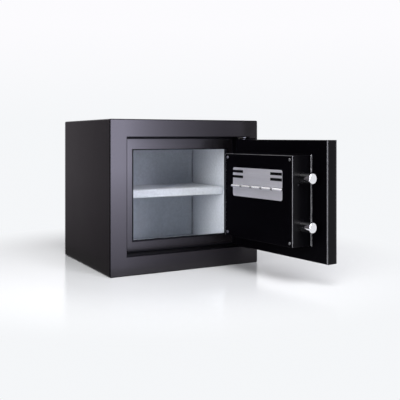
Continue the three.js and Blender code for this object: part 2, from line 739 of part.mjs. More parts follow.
function hingedPlate(group) {
  const { long, short } = knuckleSpans();
  const room = KNUCKLE_RADIUS + LEAF_GAP;
  const outline = roundedOutline(-plateEnd, -plateStart, hingeLine - PLATE_BELOW,
    hingeLine + PLATE_ABOVE, PLATE_CORNER);
  const whole = () => plateXZ(outline, leafBack, leafFront);

  const lower = cut(whole(), [box(-door.wide, 0, 0, DEPTH, hingeLine - room, HEIGHT)]);
  const lowerWeb = [hingeLine - room, hingeLine];
  place(group, 'plate_lower_leaf', leafWithKnuckles(lower, long, short, lowerWeb), finish.stainless());

  const upper = cut(whole(), [box(-door.wide, 0, 0, DEPTH, 0, hingeLine + room)]);
  const bars = [BAR_UPPER, BAR_LOWER].flatMap((rise) => {
    const z0 = hingeLine + rise - BAR_HEIGHT / 2;
    const span = [leafFront - BAR_DEEP, leafFront + OVERRUN, z0, z0 + BAR_HEIGHT];
    return [
      doorBox(plateStart - OVERRUN, plateStart + BAR_LENGTH, ...span),
      doorBox(plateEnd - BAR_LENGTH, plateEnd + OVERRUN, ...span),
    ];
  });
  const upperWeb = [hingeLine, hingeLine + room];
  const flap = cut(leafWithKnuckles(upper, short, long, upperWeb), bars);
  place(group, 'battery_flap', flap, finish.stainless());

  const headStart = plateStart - KNUCKLE_GAP;
  const profile = [[0, -plateEnd - FLAP_PIN_OUT], [FLAP_PIN_RADIUS, -plateEnd - FLAP_PIN_OUT],
    [FLAP_PIN_RADIUS, -headStart], [FLAP_PIN_HEAD, -headStart],
    [FLAP_PIN_HEAD, -headStart + FLAP_PIN_OUT], [0, -headStart + FLAP_PIN_OUT]];
  const flapPin = turned(profile, FINE_STEPS);
  flapPin.rotateZ(-Math.PI / 2);
  flapPin.translate(0, knuckleAxis, hingeLine);
  place(group, 'flap_pin', flapPin, finish.chrome());
}

function batteryPieces(group) {
  const y1 = coverBack;
  const well = doorBox(tray.e0 + SEAT, tray.e1 - SEAT, tray.y0, boxTop, tray.z0 + SEAT, tray.z1 - SEAT);
  const rim = doorBox(tray.e0 - TRAY_LIP, tray.e1 + TRAY_LIP, y1 - TRAY_LIP_THICK, y1,
    tray.z0 - TRAY_LIP, tray.z1 + TRAY_LIP);
  const room = doorBox(tray.e0 + TRAY_WALL, tray.e1 - TRAY_WALL, tray.y0 + TRAY_WALL, boxTop + OVERRUN,
    tray.z0 + TRAY_WALL, tray.z1 - TRAY_WALL);
  place(group, 'battery_tray', cut(well.add(rim), [room]), finish.plastic());

  let index = 0;
  const y = tray.y0 + TRAY_WALL + SEAT + CELL_RADIUS;
  for (const row of [0, 1]) {
    const z = tray.z0 + TRAY_WALL + CELL_GAP + CELL_RADIUS + row * (2 * CELL_RADIUS + CELL_GAP);
    for (const column of [0, 1]) {
      index += 1;
      const start = tray.e0 + TRAY_WALL + CELL_GAP + column * (CELL_LENGTH + CELL_GAP);
      const body = CELL_LENGTH - CELL_NIPPLE;
      const profile = [[0, 0], [CELL_RADIUS, 0], [CELL_RADIUS, body], [CELL_NIPPLE_RADIUS, body],
        [CELL_NIPPLE_RADIUS, CELL_LENGTH], [0, CELL_LENGTH]];
      const cell = turned(profile, FINE_STEPS);
      cell.rotateZ(Math.PI / 2);
      cell.translate(-start, y, z);
      place(group, `battery_${index}`, cell, finish.cell());
    }
  }
}

// Bolt work: drawn thrown, as the photograph shows it

function carrierPieces(group) {
  const tipEnd = boxEnd + BOLT_OUT;
  const inner = flangeEnd + SEAT;
  for (const [name, z] of [['bolt_upper', boltUpper], ['bolt_lower', boltLower]]) {
    const tail = flangeEnd - CARRIER_THICK - TAIL_LENGTH;
    const profile = [[0, tail], [TAIL_RADIUS, tail], [TAIL_RADIUS, inner], [BOLT_RADIUS, inner],
      [BOLT_RADIUS, tipEnd - BOLT_EDGE], [BOLT_RADIUS - BOLT_EDGE, tipEnd], [0, tipEnd]];
    const bolt = turned(profile, ROUND_STEPS);
    bolt.rotateZ(Math.PI / 2);
    bolt.translate(0, boltAxis, z);
    place(group, name, bolt, finish.chrome());
  }

  const z0 = boltLower - CARRIER_OVER;
  const z1 = boltUpper + CARRIER_OVER;
  const flange = doorBox(flangeEnd - CARRIER_THICK, flangeEnd, boltAxis - CARRIER_WIDTH / 2,
    boltAxis + CARRIER_WIDTH / 2, z0, z1);
  const strip = doorBox(flangeEnd - CARRIER_WIDTH, flangeEnd, carrierBack, carrierFront, z0, z1);
  const pinPlace = knobPlace + BOLT_TRAVEL / 2;
  const armStart = pinPlace - CRANK_PIN_RADIUS - SLOT_GAP - ARM_END;
  const arm = doorBox(armStart, flangeEnd, carrierBack, carrierFront, boltMiddle - ARM_HIGH / 2,
    boltMiddle + ARM_HIGH / 2);
  const slotHalf = CRANK_PIN_RADIUS + SLOT_GAP;
  const slot = doorBox(pinPlace - slotHalf, pinPlace + slotHalf, 0, boxTop,
    boltMiddle + crank * Math.cos(Math.PI / 4) - slotHalf, boltMiddle + crank + slotHalf);
  const spindleRoom = SPINDLE_RADIUS + SLOT_GAP;
  const spindleSlot = doorBox(0, knobPlace + BOLT_TRAVEL + spindleRoom, 0, boxTop,
    boltMiddle - spindleRoom, boltMiddle + spindleRoom);
  const tailHoles = [boltUpper, boltLower].map((z) => (
    rodAlongX(TAIL_RADIUS + SEAT, -flangeEnd - OVERRUN, -flangeEnd + CARRIER_WIDTH, boltAxis, z, FINE_STEPS)
  ));
  const blockRoom = PLUNGER_RADIUS + STUD_SLOT_GAP;
  const blocks = [plungerPlace, plungerPlace + BOLT_TRAVEL].map((e) => (
    doorBox(e - blockRoom, e + blockRoom, 0, boxTop, 0, boltMiddle - ARM_HIGH / 2 + PLUNGER_THROW)
  ));
  const slots = studPlaces().map(([e, z]) => {
    const half = STUD_RADIUS + STUD_SLOT_GAP;
    return doorBox(e - half, e + BOLT_TRAVEL + half, 0, boxTop, z - half, z + half);
  });
  const whole = joined([flange, strip, arm]);
  const openings = [slot, spindleSlot, ...blocks, ...tailHoles, ...slots];
  place(group, 'bolt_carrier', cut(whole, openings), finish.zinc());
}

function studPlaces() {
  return [[studPlace, boltMiddle + STUD_SPACE / 2], [studPlace, boltMiddle - STUD_SPACE / 2]];
}

function camPiece(group) {
  // The spindle's square end isn't seen; cam plate and drive pin are welded to it
  const camBack = carrierBack - SEAT - CAM_THICK;
  const spindle = rodAlongY(SPINDLE_RADIUS, 0, KNOB_EDGE - KNOB_HIGH / 2, carrierFront + SEAT, 0, FINE_STEPS);
  const angle = Math.PI / 4;
  const drive = { x: -crank * Math.sin(angle), z: crank * Math.cos(angle) };
  const discRadius = crank + CRANK_PIN_RADIUS + CAM_EDGE;
  const disc = rodAlongY(discRadius, 0, camBack, camBack + CAM_THICK, 0, ROUND_STEPS);
  const pinRod = rodAlongY(CRANK_PIN_RADIUS, drive.x, camBack, carrierFront + SEAT, drive.z, FINE_STEPS);
  const mesh = place(group, 'spindle_cam', joined([spindle, disc, pinRod]), finish.zinc());
  mesh.position.set(-knobPlace, 0, boltMiddle);
}

function knobPiece(group) {
  const seat = SEAT;
  const profile = [[0, seat], [KNOB_SKIRT, seat], [KNOB_SKIRT, seat + KNOB_SKIRT_HIGH / 2],
    [KNOB_RADIUS, seat + KNOB_SKIRT_HIGH], [KNOB_RADIUS, seat + KNOB_HIGH - KNOB_EDGE],
    [KNOB_RADIUS - KNOB_EDGE, seat + KNOB_HIGH], [0, seat + KNOB_HIGH]];
  const blank = turned(profile, ROUND_STEPS);
  blank.rotateX(Math.PI);
  const cuts = [];
  for (let index = 0; index < KNOB_GRIPS; index += 1) {
    const angle = index / KNOB_GRIPS * 2 * Math.PI;
    const away = KNOB_RADIUS + KNOB_GRIP_CUT / 2;
    cuts.push(rodAlongY(KNOB_GRIP_CUT, away * Math.sin(angle), -KNOB_HIGH - OVERRUN,
      -KNOB_SKIRT_HIGH - KNOB_EDGE, away * Math.cos(angle), FINE_STEPS));
  }
  cuts.push(rodAlongY(SPINDLE_RADIUS + SEAT, 0, -KNOB_HIGH / 2 + KNOB_EDGE - SEAT, OVERRUN, 0, FINE_STEPS));
  const mesh = place(group, 'knob', cut(toSolid(blank), cuts), finish.chrome());
  mesh.position.set(-knobPlace, 0, boltMiddle);
}

function chassisPieces(group) {
  const foot = boxFoot;
  const z0 = boltLower - CARRIER_OVER;
  const z1 = boltUpper + CARRIER_OVER;
  const e0 = knobPlace - KNOB_SKIRT;
  const e1 = flangeEnd - CARRIER_WIDTH - STUD_RADIUS;
  const base = doorBox(e0, e1, foot, foot + CHASSIS_THICK, z0, z1);
  const studs = studPlaces().map(([e, z]) => (
    rodAlongY(STUD_RADIUS, -e, foot, carrierFront + SEAT, z, FINE_STEPS)
  ));
  place(group, 'lock_chassis', cut(joined([base, ...studs]), [spindleBore()]), finish.zinc());

  const top = boltMiddle - ARM_HIGH / 2 - SEAT;
  const low = top - SOLENOID_HIGH;
  const can = doorBox(plungerPlace - SOLENOID_WIDE / 2, plungerPlace + SOLENOID_WIDE / 2,
    foot + CHASSIS_THICK + SEAT, boltAxis + SOLENOID_DEEP / 2, low, top);
  const bore = rodAlongZ(PLUNGER_RADIUS + PLUNGER_GAP, -plungerPlace, boltAxis, low + CHASSIS_THICK,
    top + OVERRUN, FINE_STEPS);
  place(group, 'solenoid', cut(can, [bore]), finish.plastic());

  const rest = foot + BOARD_CORNER;
  const [boardStart, boardEnd] = [BOX_HINGE + BOARD_INSET, e0 - BOARD_SPACE];
  const [boardUnder, boardOver] = [boxUnder + BOARD_RAISE, boxUnder + BOARD_RAISE + BOARD_HIGH];
  const board = doorBox(boardStart, boardEnd, rest, rest + BOARD_THICK, boardUnder, boardOver);
  const feet = [boardStart + BOARD_CORNER, boardEnd - BOARD_CORNER].flatMap((e) => (
    [boardUnder + BOARD_CORNER, boardOver - BOARD_CORNER].map((z) => (
      rodAlongY(STUD_RADIUS, -e, foot, rest + BOARD_THICK / 2, z, FINE_STEPS)
    ))
  ));
  place(group, 'circuit_board', joined([board, ...feet]), finish.board());
}

function plungerPiece(group) {
  const top = boltMiddle - ARM_HIGH / 2 - SEAT;
  const low = top - SOLENOID_HIGH + CHASSIS_THICK + SEAT;
  const plunger = rodAlongZ(PLUNGER_RADIUS, -plungerPlace, boltAxis, low, top, FINE_STEPS);
  place(group, 'solenoid_plunger', plunger, finish.zinc());
}

// Keypad

function keyPlaces() {
  const places = [];
  for (let row = 0; row < KEY_ROWS; row += 1) {
    for (let column = 0; column < KEY_COLUMNS; column += 1) {
      const e = knobPlace - (column - (KEY_COLUMNS - 1) / 2) * KEY_PITCH_X;
      const z = padMiddle - (row - (KEY_ROWS - 1) / 2) * KEY_PITCH_Z;
      places.push([e, z]);
    }
  }
  return places;
}

function keypadPieces(group) {
  const e0 = knobPlace - PAD_WIDE / 2;
  const e1 = knobPlace + PAD_WIDE / 2;
  const outline = roundedOutline(-e1, -e0, padMiddle - PAD_HIGH / 2, padMiddle + PAD_HIGH / 2, PAD_CORNER);
  const housing = plateXZ(outline, -SEAT - PAD_THICK, -SEAT);
  const half = { x: KEY_WIDE / 2 + KEY_GAP, z: KEY_HIGH / 2 + KEY_GAP };
  const wells = keyPlaces().map(([e, z]) => (
    doorBox(e - half.x, e + half.x, -SEAT - PAD_THICK - OVERRUN, -SEAT - PAD_FLOOR, z - half.z, z + half.z)
  ));
  place(group, 'keypad_housing', cut(housing, wells), finish.plastic());

  keyPlaces().forEach(([e, z], index) => {
    const shape = roundedOutline(-e - KEY_WIDE / 2, -e + KEY_WIDE / 2,
      z - KEY_HIGH / 2, z + KEY_HIGH / 2, KEY_CORNER);
    const outer = -SEAT - PAD_THICK - KEY_OUT;
    const inner = -SEAT - PAD_FLOOR - KEY_TRAVEL - KEY_GAP;
    const digit = (index + 1) % (KEY_COLUMNS * KEY_ROWS);
    place(group, `key_${digit}`, plateXZ(shape, outer, inner), finish.key());
  });
}

// Assembly

const safe = new THREE.Group();
safe.name = 'compact_safe';

const body = new THREE.Group();
body.position.set(-WIDTH / 2, -DEPTH / 2, 0);
safe.add(body);
shellPieces(body);
mouthPieces(body);
linerPieces(body);
shelfPieces(body);
hingePieces(body);
insulationPiece(body);

const swing = new THREE.Group();
swing.position.set(pin.x, pin.y, 0);
swing.rotation.z = OPEN_ANGLE * Math.PI / 180;
body.add(swing);
hingeEars(swing);

const leaf = new THREE.Group();
leaf.position.set(hingeEdge - pin.x, DOOR_SINK - pin.y, 0);
swing.add(leaf);
doorShell(leaf);
lockBox(leaf);
hingedPlate(leaf);
batteryPieces(leaf);
carrierPieces(leaf);
camPiece(leaf);
knobPiece(leaf);
chassisPieces(leaf);
plungerPiece(leaf);
keypadPieces(leaf);

export default safe;
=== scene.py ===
# Looks for a compact fire safe with its door swung open, in metres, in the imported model's frame.
import json
import math

import bmesh
import bpy
from bpy.props import FloatProperty, FloatVectorProperty, PointerProperty
from mathutils import Matrix, Vector, noise


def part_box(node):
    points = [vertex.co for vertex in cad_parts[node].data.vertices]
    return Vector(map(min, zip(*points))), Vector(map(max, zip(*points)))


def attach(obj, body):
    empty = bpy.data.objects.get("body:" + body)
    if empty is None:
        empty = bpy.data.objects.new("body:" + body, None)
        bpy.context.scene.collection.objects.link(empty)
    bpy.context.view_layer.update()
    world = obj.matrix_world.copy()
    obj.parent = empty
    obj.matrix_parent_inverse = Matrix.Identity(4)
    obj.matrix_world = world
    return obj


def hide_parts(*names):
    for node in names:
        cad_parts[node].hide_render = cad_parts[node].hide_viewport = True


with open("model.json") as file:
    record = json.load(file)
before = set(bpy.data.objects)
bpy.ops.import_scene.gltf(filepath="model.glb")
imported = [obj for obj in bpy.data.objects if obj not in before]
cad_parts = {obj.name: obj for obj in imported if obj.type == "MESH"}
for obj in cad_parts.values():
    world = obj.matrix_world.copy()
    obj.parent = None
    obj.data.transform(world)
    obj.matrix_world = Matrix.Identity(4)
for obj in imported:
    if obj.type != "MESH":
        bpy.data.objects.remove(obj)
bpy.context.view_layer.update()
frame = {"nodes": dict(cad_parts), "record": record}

bl_info = {
    "name": "Compact Fire Safe",
    "version": (1, 0, 0),
    "blender": (4, 5, 0),
    "location": "View3D > Sidebar > Safe",
    "description": "Dresses a compact fire safe: enamelled body, carpeted hold, bolt work and keypad lock",
    "category": "Add Mesh",
}

MM = 0.001
WELD = 0.000002
FLAT = math.radians(0.6)
SHARP = math.radians(28)
SAME_BEND = math.cos(math.radians(40))
SQUARELY = 0.9
DOOR_TURN = math.radians(96.3)

# The door's own axes: across runs from the free edge to the hinge edge, inward out of its inner face
ACROSS = Vector((math.cos(DOOR_TURN), math.sin(DOOR_TURN), 0))
INWARD = Vector((-math.sin(DOOR_TURN), math.cos(DOOR_TURN), 0))
UP = Vector((0, 0, 1))

# Where most of a noise's values lie
NOISE_SPAN = (0.3, 0.7)

BODY_OF = {node: body for body, nodes in frame["record"]["behaviour"]["bodies"].items() for node in nodes}
MATERIALS = {}


# Sizes and colours

def length(name, text, millimetres):
    return FloatProperty(name=name, description=text, default=millimetres * MM, unit="LENGTH", precision=5)


def colour(name, text, value):
    return FloatVectorProperty(name=name, description=text, default=value, size=3, min=0, max=1, subtype="COLOR")


def share(name, text, value):
    return FloatProperty(name=name, description=text, default=value, min=0, max=1, subtype="FACTOR")


def watts(name, text, value):
    return FloatProperty(name=name, description=text, default=value, min=0, unit="POWER")


class SafeEdges(bpy.types.PropertyGroup):
    """Roundings and small sizes that the finish needs."""
    sheet: length("Sheet edge", "Rounding of the body's folded sheet edges", 0.8)
    fold: length("Front fold", "Rounding of the front frame's folds", 1.7)
    door: length("Door edge", "Rounding of the door's face and its lock box", 0.45)
    cover: length("Cover edge", "Rounding of the lock box's cover", 0.65)
    fine: length("Fine edge", "Rounding of small plates and fittings", 0.25)
    moulded: length("Moulded edge", "Rounding of the keypad housing and keys", 0.7)
    carpet_wave: length("Carpet wave", "How far the glued carpet rises and falls", 0.35)
    carpet_roll: length("Carpet roll", "How far the carpet rolls back at its edges", 0.7)
    digit: length("Digit height", "Height of the printed digits", 8)


class SafeColours(bpy.types.PropertyGroup):
    """Colours as they are under plain light; a few are painted light or shade, as the notes beside them say."""
    enamel: colour("Body enamel", "Charcoal enamel of the body", (0.0052, 0.0043, 0.0052))
    # Edge tint of the enamel: partly wear, partly a painted highlight
    undercoat: colour("Undercoat", "Where enamel is rubbed at its edges", (0.012, 0.011, 0.013))
    door_paint: colour("Door paint", "Black paint of the door's inner side", (0.0007, 0.0006, 0.0010))
    # Painted highlight tint for the roundings of the door's pan, lock box and cover
    door_edge: colour("Door edge", "Rubbed edges of the door's inner side", (0.50, 0.50, 0.54))
    # The black trim and seal strips also stand in as painted shade along the mouth and the rebate's corner
    rubber: colour("Rubber", "Mouth trim and rebate seal", (0.0012, 0.0012, 0.0018))
    carpet: colour("Carpet", "Lining and shelf", (0.60, 0.635, 0.69))
    zinc: colour("Zinc", "Plated steel", (0.56, 0.58, 0.61))
    screw: colour("Screw", "Dull screws", (0.20, 0.20, 0.21))
    rivet: colour("Rivet", "Blackened rivet", (0.02, 0.02, 0.022))
    stainless: colour("Stainless", "Hinged plate on the cover", (0.70, 0.69, 0.75))
    # Painted highlight tint, used only on the upward faces of the fixed leaf's knuckles
    knuckle: colour("Knuckles", "Polished knuckles of the hinged plate", (0.92, 0.92, 0.93))
    chrome: colour("Chrome", "Bolts and knob", (0.80, 0.80, 0.82))
    filling: colour("Filling", "Cast fire insulation", (0.17, 0.165, 0.155))
    moulding: colour("Moulding", "Black plastic of tray, housing and solenoid", (0.012, 0.012, 0.014))
    key: colour("Key", "Keys", (0.30, 0.31, 0.33))
    legend: colour("Legend", "Digits", (0.012, 0.012, 0.014))
    cell: colour("Cell wrap", "Shrink wrap of the cells", (0.03, 0.11, 0.25))
    cell_band: colour("Cell band", "Band at the cells' raised end", (0.45, 0.30, 0.10))
    board: colour("Board", "Solder mask", (0.015, 0.10, 0.04))
    solder: colour("Solder", "Tinned pads of the board", (0.62, 0.62, 0.60))
    red_lamp: colour("Red lamp", "Lens of the lamp for a wrong code", (0.45, 0.02, 0.02))
    green_lamp: colour("Green lamp", "Lens of the lamp for a right code", (0.03, 0.32, 0.05))


class SafeStudio(bpy.types.PropertyGroup):
    """Camera, lamps and floor."""
    eye: FloatVectorProperty(name="Eye", description="Where the camera stands", size=3,
                             default=(-0.6129, -1.3032, 0.2667), subtype="TRANSLATION", unit="LENGTH")
    turn: FloatProperty(name="Turn", description="Turn of the view to the right", default=math.radians(28.81),
                        subtype="ANGLE")
    lens: FloatProperty(name="Lens", description="Focal length in millimetres", default=59.19, unit="CAMERA")
    rise: FloatProperty(name="Rise", description="Upward shift of the frame", default=-0.1591)
    backdrop: colour("Backdrop", "White behind the object", (0.912, 0.926, 0.944))
    sky: colour("Upper backdrop", "White above the object", (0.972, 0.966, 0.99))
    floor: colour("Floor", "Floor near the object", (0.612, 0.620, 0.632))
    room: colour("Room", "Colour of the room's own light", (0.95, 0.97, 1.0))
    ambient: share("Ambient", "Strength of the room's own light", 0.18)
    front: watts("Front lamp", "Power of the front softbox in watts", 18)
    side: watts("Side lamp", "Power of the side softbox in watts", 33)
    top: watts("Top lamp", "Power of the overhead softbox in watts", 48)


# Shader nodes

def rgba(tint, factor=1.0):
    return (*[min(1.0, part * factor) for part in tint], 1.0)


def dimmed(tint, factor):
    return [part * factor for part in tint]


class Nodes:
    """Short forms for the nodes of one shader tree. Its patterns read one vector unless given another."""

    def __init__(self, tree, where=None):
        self.tree = tree
        self.where = where

    def add(self, kind, inputs=None, **settings):
        """A node with its settings, its inputs given as values or as other nodes' outputs."""
        made = self.tree.nodes.new(kind)
        for name, value in settings.items():
            setattr(made, name, value)
        for key, value in (inputs or {}).items():
            if isinstance(value, bpy.types.NodeSocket):
                self.tree.links.new(value, made.inputs[key])
            else:
                made.inputs[key].default_value = value
        return made

    def maths(self, operation, first, second, clamp=False):
        return self.add("ShaderNodeMath", {0: first, 1: second}, operation=operation, use_clamp=clamp).outputs[0]

    def times(self, first, second, clamp=False):
        return self.maths("MULTIPLY", first, second, clamp)

    def plus(self, first, second):
        return self.maths("ADD", first, second)

    def vector(self, operation, first, second=(0, 0, 0)):
        return self.add("ShaderNodeVectorMath", {0: first, 1: second}, operation=operation).outputs

    def spread(self, value, low, high, to_low=0.0, to_high=1.0):
        """The value stretched from one span to another."""
        return self.add("ShaderNodeMapRange", {"Value": value, "From Min": low, "From Max": high,
                                               "To Min": to_low, "To Max": to_high}).outputs["Result"]

    def blend(self, factor, first, second):
        """Two colours mixed."""
        return self.add("ShaderNodeMix", {0: factor, 6: first, 7: second}, data_type="RGBA",
                        clamp_factor=True).outputs[2]

    def cloud(self, scale, detail=3.0, roughness=0.55, where=None):
        return self.add("ShaderNodeTexNoise", {"Vector": where or self.where, "Scale": scale, "Detail": detail,
                                               "Roughness": roughness}).outputs["Fac"]

    def cells(self, scale, where=None, randomness=1.0, **settings):
        """A cell pattern's outputs."""
        return self.add("ShaderNodeTexVoronoi", {"Vector": where or self.where, "Scale": scale,
                                                 "Randomness": randomness}, **settings).outputs

    def stretched(self, factors, where=None):
        return self.add("ShaderNodeMapping", {"Vector": where or self.where, "Scale": factors}).outputs["Vector"]

    def seen(self):
        """Whether a ray is the camera's, or reaches it by a reflection or through glass."""
        path = self.add("ShaderNodeLightPath").outputs
        direct = self.maths("MAXIMUM", path["Is Camera Ray"], path["Is Glossy Ray"])
        return self.maths("MAXIMUM", direct, path["Is Transmission Ray"])


class Group(Nodes):
    """A shader group that several finishes share: a vector and named numbers in, named values out."""

    def __init__(self, name, **numbers):
        tree = bpy.data.node_groups.new(name, "ShaderNodeTree")
        tree.interface.new_socket("Vector", in_out="INPUT", socket_type="NodeSocketVector")
        for title, value in numbers.items():
            tree.interface.new_socket(title, in_out="INPUT", socket_type="NodeSocketFloat").default_value = value
        self.given = tree.nodes.new("NodeGroupInput").outputs
        super().__init__(tree, self.given["Vector"])

    def gives(self, **values):
        for title in values:
            self.tree.interface.new_socket(title, in_out="OUTPUT", socket_type="NodeSocketFloat")
        taken = self.tree.nodes.new("NodeGroupOutput").inputs
        for title, value in values.items():
            self.tree.links.new(value, taken[title])
        return self.tree


class Finish(Nodes):
    """A material: what is even all over is set on its Principled shader, and the rest reads object coordinates."""

    def __init__(self, name, **even):
        MATERIALS[name] = bpy.data.materials.new(name)
        MATERIALS[name].use_nodes = True
        super().__init__(MATERIALS[name].node_tree)
        self.where = self.add("ShaderNodeTexCoord").outputs["Object"]
        self.shader = self.tree.nodes["Principled BSDF"].inputs
        for title, value in even.items():
            self.shader[title.replace("_", " ")].default_value = value

    def placed(self, maker, where=None, **values):
        """The outputs of a shared group, placed with its own values."""
        group = bpy.data.node_groups.get(maker.__name__) or maker()
        return self.add("ShaderNodeGroup", {"Vector": where or self.where, **values}, node_tree=group).outputs

    def shade(self, tint, mask, dark, light, span=NOISE_SPAN):
        """The tint between a darker and a lighter share of itself, led by a mask."""
        return self.blend(self.spread(mask, *span), rgba(tint, dark), rgba(tint, light))

    def takes(self, **values):
        """What changes over the surface."""
        for title, value in values.items():
            self.tree.links.new(value, self.shader[title.replace("_", " ")])

    def relief(self, height, strength, depth):
        bump = self.add("ShaderNodeBump", {"Height": height, "Strength": strength, "Distance": depth})
        self.takes(Normal=bump.outputs["Normal"])


# Shared effects

def enamel_skin():
    """Sprayed enamel: fine orange peel, broad cloudiness and a few settled specks."""
    group = Group("enamel_skin", Peel=420.0, Clouds=9.0)
    peel = group.given["Peel"]
    fine = group.cloud(peel, 2.0, 0.45)
    coarse = group.cloud(group.times(peel, 0.31), 2.0)
    grit = group.cloud(group.times(peel, 2.3), 1.0)
    return group.gives(Height=group.plus(group.times(fine, 0.6), group.times(coarse, 0.4)),
                       Cloud=group.cloud(group.given["Clouds"], 4.0),
                       Specks=group.spread(grit, 0.72, 0.80))


def edge_rub():
    """Edges lightened for wear and as a painted highlight: where the rounded normal leaves the face's own, broken up
    by noise.
    """
    group = Group("edge_rub", Radius=0.8 * MM, Patches=160.0)
    soft = group.add("ShaderNodeBevel", {"Radius": group.given["Radius"]}, samples=4).outputs["Normal"]
    hard = group.add("ShaderNodeNewGeometry").outputs["Normal"]
    bend = group.spread(group.vector("DOT_PRODUCT", soft, hard)["Value"], 0.985, 0.86)
    patches = group.spread(group.cloud(group.given["Patches"], 4.0, 0.65), 0.30, 0.50)
    return group.gives(Mask=group.times(bend, patches, clamp=True))


def hairlines():
    """Fine scratches in two crossing directions."""
    group = Group("hairlines", Scale=60.0, Amount=0.5)
    masks = []
    for factors in ((1.0, 14.0, 1.0), (13.0, 1.0, 2.0)):
        lines = group.cloud(group.given["Scale"], 5.0, 0.7, group.stretched(factors))
        masks.append(group.spread(lines, 0.66, 0.72))
    return group.gives(Mask=group.times(group.maths("MAXIMUM", *masks), group.given["Amount"], clamp=True))


def brush_grain():
    """Brushed metal: long fine strokes along the vector's X."""
    group = Group("brush_grain", Strokes=900.0)
    strokes = group.given["Strokes"]
    along_x = group.stretched((0.02, 1.0, 1.0))
    return group.gives(Stroke=group.cloud(strokes, 4.0, 0.7, along_x),
                       Band=group.cloud(group.times(strokes, 0.12), 3.0, where=along_x))


def carpet_pile():
    """Short needled pile: fibres, tufts and broad pressed patches."""
    group = Group("carpet_pile", Fibre=2600.0, Tuft=520.0, Patches=24.0)
    fibre = group.cloud(group.given["Fibre"], 2.0, 0.6)
    tuft = group.cells(group.given["Tuft"], feature="SMOOTH_F1")["Distance"]
    loose = group.cloud(group.times(group.given["Tuft"], 0.35), 4.0, 0.65)
    height = group.plus(group.plus(group.times(fibre, 0.45), group.times(tuft, -0.5)), loose)
    return group.gives(Height=height, Shade=group.plus(group.times(fibre, 0.55), group.times(loose, 0.45)),
                       Patch=group.cloud(group.given["Patches"], 4.0, 0.6))


def mould_grain():
    """Spark-eroded grain of moulded plastic."""
    group = Group("mould_grain", Scale=1500.0)
    scale = group.given["Scale"]
    return group.gives(Height=group.cells(scale, feature="SMOOTH_F1")["Distance"],
                       Tone=group.cloud(group.times(scale, 0.02), 3.0))


# Finishes

def on_door(finish):
    """Object coordinates turned so that X runs across the door."""
    return finish.add("ShaderNodeMapping", {"Vector": finish.where,
                                            "Rotation": (0.0, 0.0, -DOOR_TURN)}).outputs["Vector"]


def enamel(name, paint, undercoat, roughness, specular):
    """Sprayed enamel, a little uneven in gloss, with edges lightened for wear and as a painted highlight, hairlines
    and specks.
    """
    coat = Finish(name, Specular_IOR_Level=specular)
    skin = coat.placed(enamel_skin)
    # The edge mask lightens the tint for wear and as a painted highlight
    rub = coat.placed(edge_rub, Radius=0.9 * MM)["Mask"]
    lines = coat.placed(hairlines, Scale=34.0, Amount=0.12)["Mask"]
    tone = coat.shade(paint, skin["Cloud"], 0.86, 1.14)
    tone = coat.blend(coat.times(rub, 0.85), tone, rgba(undercoat))
    tone = coat.blend(coat.times(skin["Specks"], 0.35), tone, rgba(paint, 2.6))
    gloss = coat.spread(skin["Cloud"], 0.25, 0.75, roughness - 0.035, roughness + 0.035)
    coat.takes(Base_Color=tone, Roughness=coat.plus(gloss, coat.times(lines, 0.12)))
    coat.relief(skin["Height"], 0.16, 0.12 * MM)


def carpet(name, tint):
    cloth = Finish(name, Roughness=0.97, Specular_IOR_Level=0.12, Sheen_Weight=0.35, Sheen_Roughness=0.55)
    pile = cloth.placed(carpet_pile)
    tone = cloth.shade(tint, pile["Shade"], 0.78, 1.16, (0.32, 0.68))
    tone = cloth.blend(cloth.spread(pile["Patch"], 0.35, 0.7, 0.0, 0.45), tone, rgba(tint, 0.86))
    cloth.takes(Base_Color=tone)
    cloth.relief(pile["Height"], 0.55, 0.5 * MM)


def grained(name, tint, shades, gloss, specular, scale, strength, depth):
    """Rubber or moulded plastic with a fine grain."""
    skin = Finish(name, Specular_IOR_Level=specular)
    grain = skin.placed(mould_grain, Scale=scale)
    skin.takes(Base_Color=skin.shade(tint, grain["Tone"], *shades),
               Roughness=skin.spread(grain["Tone"], *NOISE_SPAN, *gloss))
    skin.relief(grain["Height"], strength, depth)


def rubber(name, tint):
    grained(name, tint, (0.8, 1.5), (0.66, 0.8), 0.08, 1100.0, 0.25, 0.1 * MM)


def moulded(name, tint, roughness):
    grained(name, tint, (0.88, 1.12), (roughness - 0.04, roughness + 0.05), 0.42, 1500.0, 0.22, 0.06 * MM)


def plated(name, tint, roughness):
    """Zinc plating: faint spangle, a little uneven in gloss, with scratches."""
    zinc = Finish(name)
    patch = zinc.add("ShaderNodeRGBToBW", {"Color": zinc.cells(190.0)["Color"]}).outputs[0]
    span = (0.2, 0.8)
    lines = zinc.placed(hairlines, Scale=120.0, Amount=0.8)["Mask"]
    tone = zinc.blend(zinc.times(lines, 0.5), zinc.shade(tint, patch, 0.9, 1.08, span), rgba(tint, 0.7))
    gloss = zinc.spread(patch, *span, roughness - 0.05, roughness + 0.06)
    zinc.takes(Base_Color=tone, Roughness=zinc.plus(gloss, zinc.times(lines, 0.15)),
               Metallic=zinc.maths("SUBTRACT", 1.0, zinc.times(lines, 0.1)))
    zinc.relief(patch, 0.04, 0.1 * MM)


def brushed(name, tint):
    """Satin stainless steel, brushed across the door."""
    steel = Finish(name, Anisotropic=0.35)
    grain = steel.placed(brush_grain, on_door(steel), Strokes=2600.0)
    lines = steel.placed(hairlines, Scale=90.0, Amount=0.6)["Mask"]
    tone = steel.shade(tint, grain["Stroke"], 0.88, 1.08)
    tone = steel.blend(steel.spread(grain["Band"], 0.35, 0.65, 0.0, 0.35), tone, rgba(tint, 0.9))
    gloss = steel.spread(grain["Stroke"], *NOISE_SPAN, 0.36, 0.50)
    steel.takes(Base_Color=tone, Roughness=steel.plus(gloss, steel.times(lines, 0.1)),
                Metallic=steel.spread(grain["Band"], *NOISE_SPAN, 0.80, 0.86))
    steel.relief(grain["Stroke"], 0.10, 0.04 * MM)


